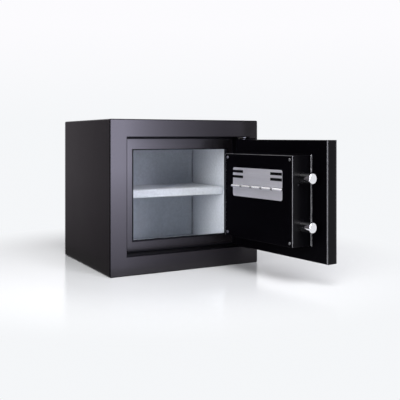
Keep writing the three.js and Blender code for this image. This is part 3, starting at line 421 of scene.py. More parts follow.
def rubbed(name, tint, metallic, gloss=(0.34, 0.46)):
    """Metal whose tint is painted lighter or darker for a highlight or a shade, a little uneven."""
    metal = Finish(name, Metallic=metallic)
    patch = metal.cloud(240.0, 4.0, 0.65)
    metal.takes(Base_Color=metal.shade(tint, patch, 0.72, 1.06, (0.35, 0.6)),
                Roughness=metal.spread(patch, *NOISE_SPAN, *gloss))
    metal.relief(patch, 0.08, 0.1 * MM)


def bright(name, tint, roughness):
    """Bright chrome with polishing marks and fine scratches."""
    chrome = Finish(name)
    lines = chrome.placed(hairlines, Scale=260.0, Amount=0.9)["Mask"]
    haze = chrome.cloud(70.0, 4.0)
    gloss = chrome.spread(haze, *NOISE_SPAN, roughness * 0.7, roughness * 1.4)
    chrome.takes(Base_Color=chrome.blend(chrome.times(lines, 0.35), rgba(tint), rgba(tint, 0.72)),
                 Roughness=chrome.plus(gloss, chrome.times(lines, 0.14)),
                 Metallic=chrome.maths("SUBTRACT", 1.0, chrome.times(lines, 0.06)))
    chrome.relief(haze, 0.03, 0.1 * MM)


def cast_filling(name, tint):
    """Mineral filling: sandy, with air holes."""
    filling = Finish(name, Specular_IOR_Level=0.2)
    sand = filling.cloud(900.0, 4.0, 0.7)
    pit = filling.spread(filling.cells(240.0)["Distance"], 0.12, 0.2)
    filling.takes(Base_Color=filling.blend(pit, rgba(tint, 0.35), filling.shade(tint, sand, 0.78, 1.12)),
                  Roughness=filling.spread(sand, *NOISE_SPAN, 0.86, 0.98))
    filling.relief(filling.plus(filling.times(sand, 0.4), pit), 0.5, 0.4 * MM)


def shrink_wrap(name, tint):
    """Glossy film round a cell, a little cloudy."""
    wrap = Finish(name, Coat_Weight=0.3)
    film = wrap.cloud(140.0, 2.0)
    wrap.takes(Base_Color=wrap.shade(tint, film, 0.94, 1.07), Roughness=wrap.spread(film, *NOISE_SPAN, 0.22, 0.34))
    wrap.relief(film, 0.04, 0.1 * MM)


def solder_mask(name, tint, solder):
    """Circuit board: green mask over brighter copper tracks, with tinned pads."""
    board = Finish(name, Coat_Weight=0.2)
    local = on_door(board)
    black, white = (0, 0, 0, 1), (1, 1, 1, 1)
    tracks = board.add("ShaderNodeTexBrick", {"Vector": board.stretched((1.0, 0.0, 1.0), local), "Scale": 130.0,
                                              "Color1": black, "Color2": black, "Mortar": white,
                                              "Mortar Size": 0.05}, offset=0.37, squash=0.6).outputs["Fac"]
    pads = board.spread(board.cells(210.0, local, 0.35)["Distance"], 0.16, 0.13)
    board.takes(Base_Color=board.blend(pads, board.blend(tracks, rgba(tint), rgba(tint, 2.1)), rgba(solder)),
                Metallic=board.times(pads, 0.9), Roughness=board.spread(tracks, 0.0, 1.0, 0.3, 0.4))
    board.relief(board.plus(tracks, pads), 0.15, 0.1 * MM)


def lamp_lens(name, tint):
    """Clear coloured plastic, slightly cloudy."""
    glass = Finish(name, Coat_Weight=0.5, Roughness=0.2)
    glass.takes(Base_Color=glass.blend(glass.cloud(900.0, 2.0), rgba(tint, 0.8), rgba(tint, 1.1)))


# Modelling helpers

def weigh_normals(mesh):
    """Corner normals led by the larger faces, so that flats stay flat beside their roundings."""
    around = [[] for _ in mesh.vertices]
    for face in mesh.polygons:
        for index in face.vertices:
            around[index].append(face)
    normals = []
    for face in mesh.polygons:
        for index in face.vertices:
            total = Vector()
            for other in around[index]:
                if other.normal.dot(face.normal) > SAME_BEND:
                    total += other.normal * other.area
            normals.append(total.normalized())
    mesh.normals_split_custom_set(normals)


def mesh_of(form, name):
    """The mesh of a bmesh that is used up."""
    mesh = bpy.data.meshes.new(name)
    form.to_mesh(mesh)
    form.free()
    return mesh


def linked(name, data):
    """A new object in the scene."""
    made = bpy.data.objects.new(name, data)
    bpy.context.scene.collection.objects.link(made)
    return made


def finish_piece(form, name, body, slot, *materials, replaces=(), soft=False):
    """A bmesh made into a piece that rides on a body, in place of the nodes named."""
    mesh = mesh_of(form, name)
    for material in materials:
        mesh.materials.append(MATERIALS[material])
    mesh.shade_smooth()
    if not soft:
        weigh_normals(mesh)
    piece = linked(name, mesh)
    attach(piece, body)
    if replaces:
        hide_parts(*replaces)
    return piece


def cleaned(node):
    """A merged copy of a node's mesh with its flat faces whole again."""
    form = bmesh.new()
    form.from_mesh(frame["nodes"][node].data)
    bmesh.ops.remove_doubles(form, verts=form.verts, dist=WELD)
    bmesh.ops.dissolve_limit(form, angle_limit=FLAT, verts=form.verts, edges=form.edges)
    bmesh.ops.connect_verts_concave(form, faces=form.faces)
    return form


def shown_form(piece):
    """The bmesh of a helper object as its modifiers or its text shape it; the object is used up."""
    form = bmesh.new()
    form.from_mesh(piece.evaluated_get(bpy.context.evaluated_depsgraph_get()).to_mesh())
    bpy.data.objects.remove(piece)
    return form


def hole_rim(edge):
    """Whether an edge runs round a hole: the wall facets beside it then turn inwards."""
    for face in edge.link_faces:
        for side in face.edges:
            if side is not edge and set(side.verts) & set(edge.verts) and side.is_manifold:
                if not side.is_convex and FLAT < side.calc_face_angle() < SHARP:
                    return True
    return False


def eased(form, width, segments=3, chosen=None, coats=None):
    """Every sharp edge of a form rounded, or only those chosen, apart from the rims of holes. Coats gives each face
    the number of its material, told also whether the face is a rounding."""
    sharp = [edge for edge in form.edges if edge.is_manifold and edge.calc_face_angle() > SHARP]
    picked = [edge for edge in sharp if not hole_rim(edge) and (chosen is None or chosen(edge))]
    bent = bmesh.ops.bevel(form, geom=picked, offset=width, offset_type="OFFSET", segments=segments, profile=0.5,
                           affect="EDGES", clamp_overlap=False, material=-1)["faces"]
    if coats:
        form.normal_update()
        bent = set(bent)
        for face in form.faces:
            face.material_index = coats(face, face in bent)
    bmesh.ops.connect_verts_concave(form, faces=form.faces)
    return form


def rounded(node, name, width, slot, *materials, segments=3, chosen=None, coats=None):
    """A node's shape with its sharp edges rounded, standing for the node."""
    return finish_piece(eased(cleaned(node), width, segments, chosen, coats), name, BODY_OF[node], slot,
                        *materials, replaces=[node])


def painted(node, material):
    """A node that is kept as it is, with its finish."""
    shown = frame["nodes"][node]
    shown.data.materials.clear()
    shown.data.materials.append(MATERIALS[material])


def along(node, axis):
    """The lowest and highest place of a node's points along an axis."""
    reach = [point.co.dot(axis) for point in frame["nodes"][node].data.vertices]
    return min(reach), max(reach)


def standing(node, axis):
    """The middle of a node's first end along an axis, and its length from there."""
    start, end = along(node, axis)
    low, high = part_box(node)
    middle = (low + high) / 2
    return middle + axis * (start - middle.dot(axis)), end - start


def turned(profile, steps=72):
    """A shape turned about Z from (radius, height) points that start and end on the axis."""
    form = bmesh.new()
    points = [form.verts.new((radius, 0, height)) for radius, height in profile]
    edges = [form.edges.new(pair) for pair in zip(points, points[1:])]
    bmesh.ops.spin(form, geom=points + edges, cent=(0, 0, 0), axis=(0, 0, 1), dvec=(0, 0, 0),
                   angle=math.tau, steps=steps, use_merge=True, use_normal_flip=False, use_duplicate=False)
    bmesh.ops.remove_doubles(form, verts=form.verts, dist=WELD)
    bmesh.ops.recalc_face_normals(form, faces=form.faces)
    return form


def headed(tall, rod, cap, head, ease):
    """The outline of a pin with a broader head at its far end."""
    neck = tall - head
    return [(0, 0), (rod - ease, 0), (rod, ease), (rod, neck), (cap - ease, neck), (cap, neck + ease),
            (cap, tall - 2 * ease), (cap - 2 * ease, tall), (0, tall)]


def aimed(form, origin, axis):
    """The form moved to an origin with its Z along the axis."""
    z = axis.normalized()
    x = (Vector((1, 0, 0)) if abs(z.z) > 0.9 else UP).cross(z).normalized()
    form.transform(Matrix.Translation(origin) @ Matrix((x, z.cross(x), z)).transposed().to_4x4())
    return form


def block(low, high):
    """A box between two corners."""
    low, high = Vector(low), Vector(high)
    form = bmesh.new()
    bmesh.ops.create_cube(form, size=1)
    bmesh.ops.scale(form, vec=high - low, verts=form.verts)
    bmesh.ops.translate(form, vec=(low + high) / 2, verts=form.verts)
    return form


def carved(form, cutter):
    """A form less a cutter, both used up."""
    whole, tool = [linked("carving", mesh_of(shape, "carving")) for shape in (form, cutter)]
    cut = whole.modifiers.new("cut", "BOOLEAN")
    cut.operation = "DIFFERENCE"
    cut.object = tool
    cut.solver = "EXACT"
    left = shown_form(whole)
    bpy.data.objects.remove(tool)
    return left


# Operators

class SafeOperator(bpy.types.Operator):
    """Shared options of the safe's operators."""
    bl_options = {"REGISTER", "UNDO"}


class SAFE_OT_finishes(SafeOperator):
    """Enamels, metals, carpet, plastics and filling that the pieces wear"""
    bl_idname = "safe.finishes"
    bl_label = "Finishes"

    def execute(self, context):
        tints = context.scene.safe_colours
        enamel("shell_enamel", tints.enamel, tints.undercoat, 0.32, 0.25)
        enamel("frame_enamel", tints.enamel, tints.undercoat, 0.24, 0.28)
        enamel("door_enamel", tints.enamel, tints.undercoat, 0.32, 0.25)
        enamel("mouth_enamel", tints.enamel, tints.undercoat, 0.22, 0.46)
        # worn_fold: the door's near-black paint used on the frame, a painted shade for its folds and rebate
        enamel("worn_fold", tints.door_paint, tints.undercoat, 0.30, 0.05)
        enamel("pan_side", tints.door_paint, tints.undercoat, 0.30, 0.10)
        enamel("door_black", tints.door_paint, tints.undercoat, 0.30, 0.02)
        # Tints painted lighter or darker: highlights on the door's roundings, highlight and shade on the knuckles
        rubbed("bare_edge", tints.door_edge, 0.25)
        rubbed("worn_edge", dimmed(tints.door_edge, 0.27), 0.25)
        rubbed("dull_edge", dimmed(tints.door_edge, 0.17), 0.25)
        rubbed("bright_knuckle", tints.knuckle, 0.64, (0.16, 0.26))
        rubbed("dull_knuckle", dimmed(tints.stainless, 0.2), 0.6)
        carpet("grey_carpet", tints.carpet)
        rubber("black_rubber", tints.rubber)
        plated("zinc_plate", tints.zinc, 0.30)
        plated("screw_steel", tints.screw, 0.44)
        plated("rivet_steel", tints.rivet, 0.44)
        brushed("satin_stainless", tints.stainless)
        bright("bright_chrome", tints.chrome, 0.10)
        moulded("black_moulding", tints.moulding, 0.46)
        moulded("key_moulding", tints.key, 0.42)
        moulded("legend_ink", tints.legend, 0.5)
        cast_filling("cast_filling", tints.filling)
        shrink_wrap("cell_wrap", tints.cell)
        shrink_wrap("cell_band", tints.cell_band)
        solder_mask("solder_mask", tints.board, tints.solder)
        lamp_lens("red_lens", tints.red_lamp)
        lamp_lens("green_lens", tints.green_lamp)
        return {"FINISHED"}


class SAFE_OT_stage(SafeOperator):
    """Camera, softboxes, dark cards, white floor and backdrop"""
    bl_idname = "safe.stage"
    bl_label = "Stage"

    FLOOR_RADIUS = 6.0
    FLOOR_ROUGHNESS, FLOOR_SPECULAR = 0.16, 0.22
    FADE_FROM, FADE_TO = 0.29, 0.60
    SKY_FROM, SKY_TO = 0.02, 0.16
    NEAREST = 0.05
    FAR = 9

    # Name, size, place, what it faces, colour and whether metal mirrors it; the power is the studio's
    SOFTBOXES = {
        "front": ((0.5, 1.0), (0.45, -1.64, 0.51), (0.45, 0, 0.5), (0.90, 0.89, 1.0), True),
        "side": ((0.9, 0.7), (-1.45, -0.80, 0.36), (0, 0, 0.15), (1.0, 0.99, 0.98), False),
        "top": ((1.3, 1.3), (-0.35, -1.15, 1.65), (0, -0.1, 0.1), (1.0, 1.0, 1.0), True),
    }

    def softbox(self, name, power, size, place, target, tint, mirrored):
        light = bpy.data.lights.new(name, "AREA")
        light.shape = "RECTANGLE"
        light.size, light.size_y = size
        light.energy = power
        light.color = tint
        lamp = linked(name, light)
        lamp.location = place
        lamp.rotation_euler = (Vector(target) - Vector(place)).to_track_quat("-Z", "Y").to_euler()
        lamp.visible_camera = False
        lamp.visible_glossy = mirrored

    def staged(self, name, form):
        """A form made into an object of the stage, with its material's nodes."""
        material = bpy.data.materials.new(name)
        material.use_nodes = True
        stand = linked(name, mesh_of(form, name))
        stand.data.materials.append(material)
        return stand, Nodes(material.node_tree)

    def surface(self, nodes, factor, first, second):
        mixed = nodes.add("ShaderNodeMixShader", {0: factor, 1: first.outputs[0], 2: second.outputs[0]})
        nodes.tree.links.new(mixed.outputs[0], nodes.tree.nodes["Material Output"].inputs["Surface"])

    def card(self, name, corners, stops, tint=(1, 1, 1), slope=(0, 0, 0), low=(-FAR,) * 3, high=(FAR,) * 3):
        """A card that only reflections see, and only from its front: its light is 2 to the stops, which change along
        the slope between two corners."""
        form = bmesh.new()
        form.faces.new([form.verts.new(corner) for corner in corners])
        card, nodes = self.staged(name, form)
        where = nodes.add("ShaderNodeTexCoord").outputs["Object"]
        where = nodes.vector("MAXIMUM", where, low)["Vector"]
        where = nodes.vector("MINIMUM", where, high)["Vector"]
        power = nodes.maths("POWER", 2.0, nodes.plus(nodes.vector("DOT_PRODUCT", where, slope)["Value"], stops))
        lit = nodes.add("ShaderNodeEmission", {"Color": rgba(tint), "Strength": power})
        back = nodes.add("ShaderNodeNewGeometry").outputs["Backfacing"]
        self.surface(nodes, back, lit, nodes.add("ShaderNodeBsdfTransparent"))
        for rays in ("visible_camera", "visible_diffuse", "visible_shadow", "visible_transmission"):
            setattr(card, rays, False)

    def upright_card(self, name, start, end, tall, *light):
        """A card that stands on the line between two points of the floor."""
        corners = ((*start, 0), (*end, 0), (*end, tall), (*start, tall))
        self.card(name, corners, *light)

    def floor(self, studio):
        """A white floor that shows as plain white further out, but keeps the shadow near the object."""
        form = bmesh.new()
        bmesh.ops.create_circle(form, cap_ends=True, segments=96, radius=self.FLOOR_RADIUS)
        _, nodes = self.staged("studio_floor", form)
        gloss = nodes.tree.nodes["Principled BSDF"]
        gloss.inputs["Base Color"].default_value = rgba(studio.floor)
        gloss.inputs["Roughness"].default_value = self.FLOOR_ROUGHNESS
        gloss.inputs["Specular IOR Level"].default_value = self.FLOOR_SPECULAR
        away = nodes.vector("LENGTH", nodes.add("ShaderNodeTexCoord").outputs["Object"])["Value"]
        fade = nodes.add("ShaderNodeMapRange", {"Value": away, "From Min": self.FADE_FROM, "From Max": self.FADE_TO},
                         interpolation_type="SMOOTHSTEP").outputs["Result"]
        white = nodes.add("ShaderNodeEmission", {"Color": rgba(studio.backdrop), "Strength": 1.0})
        self.surface(nodes, nodes.times(fade, nodes.seen()), gloss, white)

    def backdrop(self, studio):
        """Plain white round the object, and the room's own light on it."""
        world = bpy.data.worlds.new("studio")
        bpy.context.scene.world = world
        world.use_nodes = True
        world.node_tree.nodes.clear()
        nodes = Nodes(world.node_tree)
        way = nodes.add("ShaderNodeTexCoord").outputs["Generated"]
        height = nodes.add("ShaderNodeSeparateXYZ", {0: way}).outputs["Z"]
        rise = nodes.spread(height, self.SKY_FROM, self.SKY_TO)
        paper = nodes.blend(rise, rgba(studio.backdrop), rgba(studio.sky))
        room = nodes.add("ShaderNodeBackground", {"Color": rgba(studio.room), "Strength": studio.ambient})
        white = nodes.add("ShaderNodeBackground", {"Color": paper, "Strength": 1.0})
        mixed = nodes.add("ShaderNodeMixShader", {0: nodes.seen(), 1: room.outputs[0], 2: white.outputs[0]})
        nodes.add("ShaderNodeOutputWorld", {"Surface": mixed.outputs[0]})

    def camera(self, scene, studio):
        camera = linked("camera", bpy.data.cameras.new("camera"))
        camera.data.lens = studio.lens
        camera.data.shift_y = studio.rise
        camera.data.clip_start = self.NEAREST
        camera.location = studio.eye
        camera.rotation_euler = (math.pi / 2, 0, -studio.turn)
        scene.camera = camera

    def execute(self, context):
        studio = context.scene.safe_studio
        context.scene.view_settings.view_transform = "Standard"
        self.camera(context.scene, studio)
        for side, setting in self.SOFTBOXES.items():
            self.softbox(f"{side}_softbox", getattr(studio, side), *setting)
        self.upright_card("left_card", (-1.5, 0.1), (-0.62, 2.4), 1.4, -4.5)
        self.upright_card("camera_card", (0.15, -1.75), (-1.5, -1.75), 1.3, -5.5)
        self.upright_card("front_card", (1.25, -1.65), (0.68, -1.8), 1.4, -5.5)
        self.upright_card("front_glow", (0.17, -0.205), (-0.35, -0.205), 0.6, -0.06, (0.81, 0.79, 1.0),
                          (-15, 0, 9.4), (-0.11, -self.FAR, 0), (0.125, self.FAR, 0.2))
        self.upright_card("side_glow", (-0.21, -0.3), (-0.21, 1.2), 0.6, -3.45, (1, 0.92, 1),
                          (0, 4.3, 5), (-self.FAR, -self.FAR, 0), (self.FAR, 0.2, 0.17))
        left, right, near, far, raised = -0.32, -0.168, -0.3, 0.7, 1 * MM
        self.card("side_floor_card", ((left, near, raised), (right, near, raised), (right, far, raised),
                                      (left, far, raised)), -3.4)
        self.floor(studio)
        self.backdrop(studio)
        return {"FINISHED"}


class SAFE_OT_body(SafeOperator):
    """Enamelled shell, back plate, front frame and mouth plate, with the filling between them"""
    bl_idname = "safe.body"
    bl_label = "Body"

    FRONT_DEPTH = 3 * MM

    def execute(self, context):
        edges = context.scene.safe_edges
        rounded("outer_shell", "shell_wrap", edges.sheet, "body_enamel", "shell_enamel")
        rounded("back_plate", "back_panel", edges.sheet, "body_enamel", "shell_enamel")
        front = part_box("front_frame")[0].y
        behind = front + self.FRONT_DEPTH
        # The folds and the rebate walls behind the front take worn_fold, a painted shade for the dark rebate corners
        # and fold lines
        rounded("front_frame", "front_surround", edges.fold, "body_enamel", "frame_enamel", "worn_fold", segments=4,
                chosen=lambda edge: all(abs(end.co.y - front) < WELD for end in edge.verts),
                coats=lambda face, bent: int(bent or face.calc_center_median().y > behind))
        rounded("mouth_plate", "mouth_panel", edges.fine, "body_enamel", "mouth_enamel")
        painted("insulation", "cast_filling")
        painted("inner_liner", "zinc_plate")
        return {"FINISHED"}


class SAFE_OT_rubber(SafeOperator):
    """Trim round the mouth and seal round the rebate, black strips that also stand in as painted shade at these edges
    """
    bl_idname = "safe.rubber"
    bl_label = "Trim and Seal"

    def execute(self, context):
        edges = context.scene.safe_edges
        # Dark strips that stand in as painted shade along the mouth's edges and in the rebate's corner
        rounded("mouth_trim", "mouth_edging", edges.fine * 2, "black_rubber", "black_rubber")
        rounded("rebate_seal", "rebate_strip", edges.fine, "black_rubber", "black_rubber")
        return {"FINISHED"}


class SAFE_OT_lining(SafeOperator):
    """Glued carpet panels and the wrapped shelf on its rails"""
    bl_idname = "safe.lining"
    bl_label = "Carpet Lining"

    CELL = 4.5 * MM
    SHELF_CELL = 1.9 * MM
    SHELF_PASSES = 3
    SHELF_SINK = 0.7
    # How often the carpet rises and falls in a metre, and with what share of the wave
    PANEL_WAVES = ((38, 0.65), (120, 0.35))
    SHELF_WAVES = ((45, 0.6), (150, 0.4))

    PANELS = {
        "floor": (0, 0, 1),
        "top": (0, 0, -1),
        "left": (1, 0, 0),
        "right": (-1, 0, 0),
        "back": (0, -1, 0),
    }

    def wave(self, place, waves):
        return sum(noise.noise(place * often) * part for often, part in waves)

    def soften(self, form, facing, edges, low, high):
        """The panel's room side given a slight wave and rolled edges."""
        spans = [axis for axis in range(3) if not facing[axis]]
        room_side = high if sum(facing) > 0 else low
        for point in form.verts:
            if abs((point.co - room_side).dot(facing)) > WELD:
                continue
            edge = min(min(point.co[axis] - low[axis], high[axis] - point.co[axis]) for axis in spans)
            roll = max(0.0, 1 - edge / (4 * edges.carpet_roll)) ** 2 * edges.carpet_roll
            wave = self.wave(point.co, self.PANEL_WAVES) * edges.carpet_wave
            point.co -= facing * (roll + edges.carpet_wave - wave)

    def panel(self, side, facing, edges):
        """One panel of carpet: the floor's is laid flat, the others are stretched and softened."""
        laid = facing.z > 0
        node = f"lining_{side}"
        low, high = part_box(node)
        form = block(low, high)
        spans = [axis for axis in range(3) if not facing[axis]]
        for axis in spans:
            across = Vector([float(index == axis) for index in range(3)])
            count = max(2, round((high[axis] - low[axis]) / self.CELL))
            for index in range(1, count):
                at = low[axis] + (high[axis] - low[axis]) * index / count
                bmesh.ops.bisect_plane(form, geom=form.verts[:] + form.edges[:] + form.faces[:],
                                       plane_co=across * at, plane_no=across)
        if not laid:
            self.soften(form, facing, edges, low, high)
        panel = finish_piece(form, f"{side}_carpet", "safe_body", "grey_carpet", "grey_carpet", replaces=[node],
                             soft=True)

    def shelf(self, edges):
        """The shelf board in its carpet: soft edges and a slightly uneven skin."""
        board = finish_piece(cleaned("shelf"), "wrapping", "safe_body", "grey_carpet", "grey_carpet")
        net = board.modifiers.new("net", "REMESH")
        net.mode = "VOXEL"
        net.voxel_size = self.SHELF_CELL
        form = shown_form(board)
        for _ in range(self.SHELF_PASSES):
            bmesh.ops.smooth_vert(form, verts=form.verts, factor=0.5, use_axis_x=True, use_axis_y=True,
                                  use_axis_z=True)
        form.normal_update()
        low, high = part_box("shelf")
        for point in form.verts:
            rise = self.wave(point.co, self.SHELF_WAVES) - self.SHELF_SINK
            point.co += point.normal * rise * edges.carpet_wave
            point.co = Vector([min(max(point.co[axis], low[axis]), high[axis]) for axis in range(3)])
        finish_piece(form, "carpeted_shelf", "safe_body", "grey_carpet", "grey_carpet", replaces=["shelf"], soft=True)

    def execute(self, context):
        edges = context.scene.safe_edges
        for side, facing in self.PANELS.items():
            self.panel(side, Vector(facing), edges)
        self.shelf(edges)
        for side in ("left", "right"):
            rounded(f"shelf_rail_{side}", f"rail_{side}", edges.fine, "zinc_steel", "zinc_plate")
        return {"FINISHED"}


class SAFE_OT_hinges(SafeOperator):
    """Hinge brackets, headed pins and the door's ears"""
    bl_idname = "safe.hinges"
    bl_label = "Hinges"

    ROD, CAP, HEAD, EASE = 3 * MM, 4.5 * MM, 2 * MM, 0.5 * MM

    def execute(self, context):
        edges = context.scene.safe_edges
        for side in ("upper", "lower"):
            painted(f"hinge_bracket_{side}", "door_black")
            rounded(f"hinge_ear_{side}", f"ear_{side}", edges.fine, "door_black", "door_black")
            node = f"hinge_pin_{side}"
            foot, tall = standing(node, UP)
            form = aimed(turned(headed(tall, self.ROD, self.CAP, self.HEAD, self.EASE)), foot, UP)
            finish_piece(form, f"headed_pin_{side}", BODY_OF[node], "zinc_steel", "zinc_plate", replaces=[node])
        return {"FINISHED"}


class SAFE_OT_door(SafeOperator):
    """The door's face, pan and filling"""
    bl_idname = "safe.door"
    bl_label = "Door"

    CORNER = 0.42

    def pan_coats(self, face, bent):
        """A faint painted highlight on the rounding at the free edge, and glossier on the side beside it."""
        out = -face.normal.dot(ACROSS)
        if out > self.CORNER and face.normal.dot(INWARD) > self.CORNER:
            return 1
        return 2 if out > SQUARELY else 0

    def execute(self, context):
        edges = context.scene.safe_edges
        rounded("door_face", "door_front", edges.door, "body_enamel", "door_enamel")
        rounded("door_pan", "door_inner", edges.fine, "door_black", "door_black", "dull_edge", "pan_side",
                coats=self.pan_coats)
        painted("door_insulation", "cast_filling")
        return {"FINISHED"}


class SAFE_OT_lock_box(SafeOperator):
    """The lock box on the door, its cover, screws and rivet"""
    bl_idname = "safe.lock_box"
    bl_label = "Lock Box"

    ROOT = 2 * MM
    SCREW_HEAD, SCREW_CAP, SCREW_SHANK, SCREW_EASE = 2.8 * MM, 1.8 * MM, 1.5 * MM, 0.25 * MM
    RECESS_LONG, RECESS_WIDE, RECESS_DEEP = 3.2 * MM, 0.7 * MM, 1.0 * MM
    FIRST_TURN, NEXT_TURN = 0.35, 0.9
    RIVET_SHANK, RIVET_CAP = 1 * MM, 0.8 * MM
    # The rivet's dome: radius, and height over its brim
    RIVET_DOME = ((2 * MM, 0), (1.85 * MM, 0.35 * MM), (1.3 * MM, 0.65 * MM))
    RIVET_TOP = 0.6 * MM

    def box_coats(self, face, bent):
        """A painted highlight on the roundings at the box's root, and glossier walls on the free side."""
        if bent and face.normal.dot(INWARD) > 0.5 and face.normal.dot(ACROSS) < -0.5:
            root = along("lock_box", INWARD)[0] + self.ROOT
            return int(face.calc_center_median().dot(INWARD) < root)
        return 2 if face.normal.dot(ACROSS) < -SQUARELY else 0

    def cover_coats(self, face, bent):
        """Painted highlights on the roundings: bright on the upright ones on the hinge side, dimmer on the free side,
        faint on top.
        """
        if not bent or face.normal.dot(INWARD) <= 0.1:
            return 0
        if abs(face.normal.z) < 0.15:
            return 1 if face.normal.dot(ACROSS) > 0 else 2
        return 3 if face.normal.z > 0 else 0

    def screw(self, node):
        """A round-headed screw with a cross recess."""
        foot, tall = standing(node, INWARD)
        head, shank, ease = self.SCREW_HEAD, self.SCREW_SHANK, self.SCREW_EASE
        seat = tall - self.SCREW_CAP
        brim = seat + 2 * ease
        profile = [(0, 0), (shank - ease, 0), (shank, ease), (shank, seat), (head, seat), (head, brim)]
        steps = 6
        for step in range(1, steps):
            angle = step / steps * math.pi / 2
            profile.append((head * math.cos(angle), brim + (tall - brim) * math.sin(angle)))
        form = turned(profile + [(0, tall)], steps=48)
        for long, wide in ((self.RECESS_LONG, self.RECESS_WIDE), (self.RECESS_WIDE, self.RECESS_LONG)):
            corner = Vector((long / 2, wide / 2, self.RECESS_DEEP))
            top = Vector((0, 0, tall))
            form = carved(form, block(top - corner, top + corner))
        form.transform(Matrix.Rotation(self.FIRST_TURN + int(node[-1]) * self.NEXT_TURN, 4, "Z"))
        finish_piece(aimed(form, foot, INWARD), f"cross_screw_{node[-1]}", "door", "zinc_steel", "screw_steel",
                     replaces=[node])

    def rivet(self):
        foot, tall = standing("box_rivet", -ACROSS)
        brim = tall - self.RIVET_CAP
        profile = [(0, 0), (self.RIVET_SHANK, 0), (self.RIVET_SHANK, brim)]
        profile += [(radius, brim + rise) for radius, rise in self.RIVET_DOME]
        form = aimed(turned(profile + [(self.RIVET_TOP, tall), (0, tall)], steps=40), foot, -ACROSS)
        finish_piece(form, "rivet_head", "door", "zinc_steel", "rivet_steel", replaces=["box_rivet"])

    def execute(self, context):
        edges = context.scene.safe_edges
        rounded("lock_box", "box_walls", edges.door, "door_black", "door_black", "bare_edge", "pan_side",
                coats=self.box_coats)
        rounded("box_cover", "box_lid", edges.cover, "door_black", "door_black", "bare_edge", "worn_edge", "dull_edge",
                coats=self.cover_coats)
        for index in range(1, 5):
            self.screw(f"cover_screw_{index}")
        self.rivet()
        return {"FINISHED"}


class SAFE_OT_hinged_plate(SafeOperator):
    """The stainless plate with its battery flap, pin and black bars"""
    bl_idname = "safe.hinged_plate"
    bl_label = "Hinged Plate"

    SHEET, KNUCKLE_FROM = 1.25 * MM, 1.4 * MM
    ROD, CAP, HEAD, EASE = 1.1 * MM, 2 * MM, 2.2 * MM, 0.3 * MM
    BAR_RISES = (28.25 * MM, 18 * MM)
    BAR_LONG, BAR_HIGH, BAR_THICK, BAR_EASE = 31.5 * MM, 5.2 * MM, 0.3 * MM, 0.1 * MM

    def knuckles(self, leaf, flap):
        """The flap's knuckles are painted in shade all over, and the fixed leaf's take a painted highlight where they
        face up.
        """
        front = along("plate_lower_leaf", INWARD)[0] + self.KNUCKLE_FROM
        for part in (leaf, flap):
            for face in part.data.polygons:
                if face.center.dot(INWARD) > front and (part is flap or face.normal.z > 0.15):
                    face.material_index = 1

    def bars(self):
        """Black bars over the flap's grooves."""
        low, high = along("battery_flap", ACROSS)
        face = along("plate_lower_leaf", INWARD)[0] + self.SHEET
        hinge = standing("flap_pin", ACROSS)[0].z
        turn = Matrix((ACROSS, INWARD, UP)).transposed().to_4x4()
        form = bmesh.new()
        for rise in self.BAR_RISES:
            for start in (low, high - self.BAR_LONG):
                bar = block((0, 0, 0), (self.BAR_LONG, self.BAR_THICK, self.BAR_HIGH))
                eased(bar, self.BAR_EASE, segments=2)
                corner = ACROSS * start + INWARD * face + UP * (hinge + rise - self.BAR_HIGH / 2)
                bar.transform(Matrix.Translation(corner) @ turn)
                mesh = mesh_of(bar, "bar")
                form.from_mesh(mesh)
                bpy.data.meshes.remove(mesh)
        finish_piece(form, "flap_bars", "flap", "black_plastic", "black_rubber")

    def execute(self, context):
        edges = context.scene.safe_edges
        leaf = rounded("plate_lower_leaf", "fixed_leaf", edges.fine, "stainless", "satin_stainless", "bright_knuckle")
        flap = rounded("battery_flap", "flap_leaf", edges.fine, "stainless", "satin_stainless", "dull_knuckle")
        self.knuckles(leaf, flap)
        foot, tall = standing("flap_pin", ACROSS)
        form = aimed(turned(headed(tall, self.ROD, self.CAP, self.HEAD, self.EASE), steps=48), foot, ACROSS)
        finish_piece(form, "pin_rod", "door", "bright_chrome", "bright_chrome", replaces=["flap_pin"])
        self.bars()
        return {"FINISHED"}


class SAFE_OT_batteries(SafeOperator):
    """The battery tray and its four cells"""
    bl_idname = "safe.batteries"
    bl_label = "Batteries"

    SIDE, EASE, RIM, FOLD = 7.2 * MM, 0.7 * MM, 1.6 * MM, 0.1 * MM
    TIP, TIP_HIGH, TIP_EASE, TIP_ROUND = 2.7 * MM, 1 * MM, 0.3 * MM, 0.5 * MM
    SHOULDER = 0.8 * MM
    BAND_SHARE = 0.7

    def outline(self, tall):
        top = tall - self.TIP_HIGH
        return [(0, 0), (self.SIDE - self.RIM, 0), (self.SIDE - self.EASE, self.FOLD), (self.SIDE, self.EASE),
                (self.SIDE, top * self.BAND_SHARE), (self.SIDE, top - self.EASE), (self.SIDE - self.EASE, top),
                (self.TIP + self.SHOULDER, top), (self.TIP, top + self.FOLD), (self.TIP, tall - self.TIP_EASE),
                (self.TIP - self.TIP_ROUND, tall), (0, tall)]

    def cell(self, index):
        node = f"battery_{index}"
        foot, tall = standing(node, -ACROSS)
        band = (tall - self.TIP_HIGH) * self.BAND_SHARE
        form = turned(self.outline(tall), steps=64)
        for face in form.faces:
            centre = face.calc_center_median()
            if math.hypot(centre.x, centre.y) < self.SIDE - self.RIM - self.FOLD:
                face.material_index = 2
            elif centre.z > band:
                face.material_index = 1
        finish_piece(aimed(form, foot, -ACROSS), f"cell_{index}", "door", "cell_wrap", "cell_wrap", "cell_band",
                     "zinc_plate", replaces=[node])

    def execute(self, context):
        edges = context.scene.safe_edges
        rounded("battery_tray", "cell_tray", edges.fine, "black_plastic", "black_moulding")
        for index in range(1, 5):
            self.cell(index)
        return {"FINISHED"}


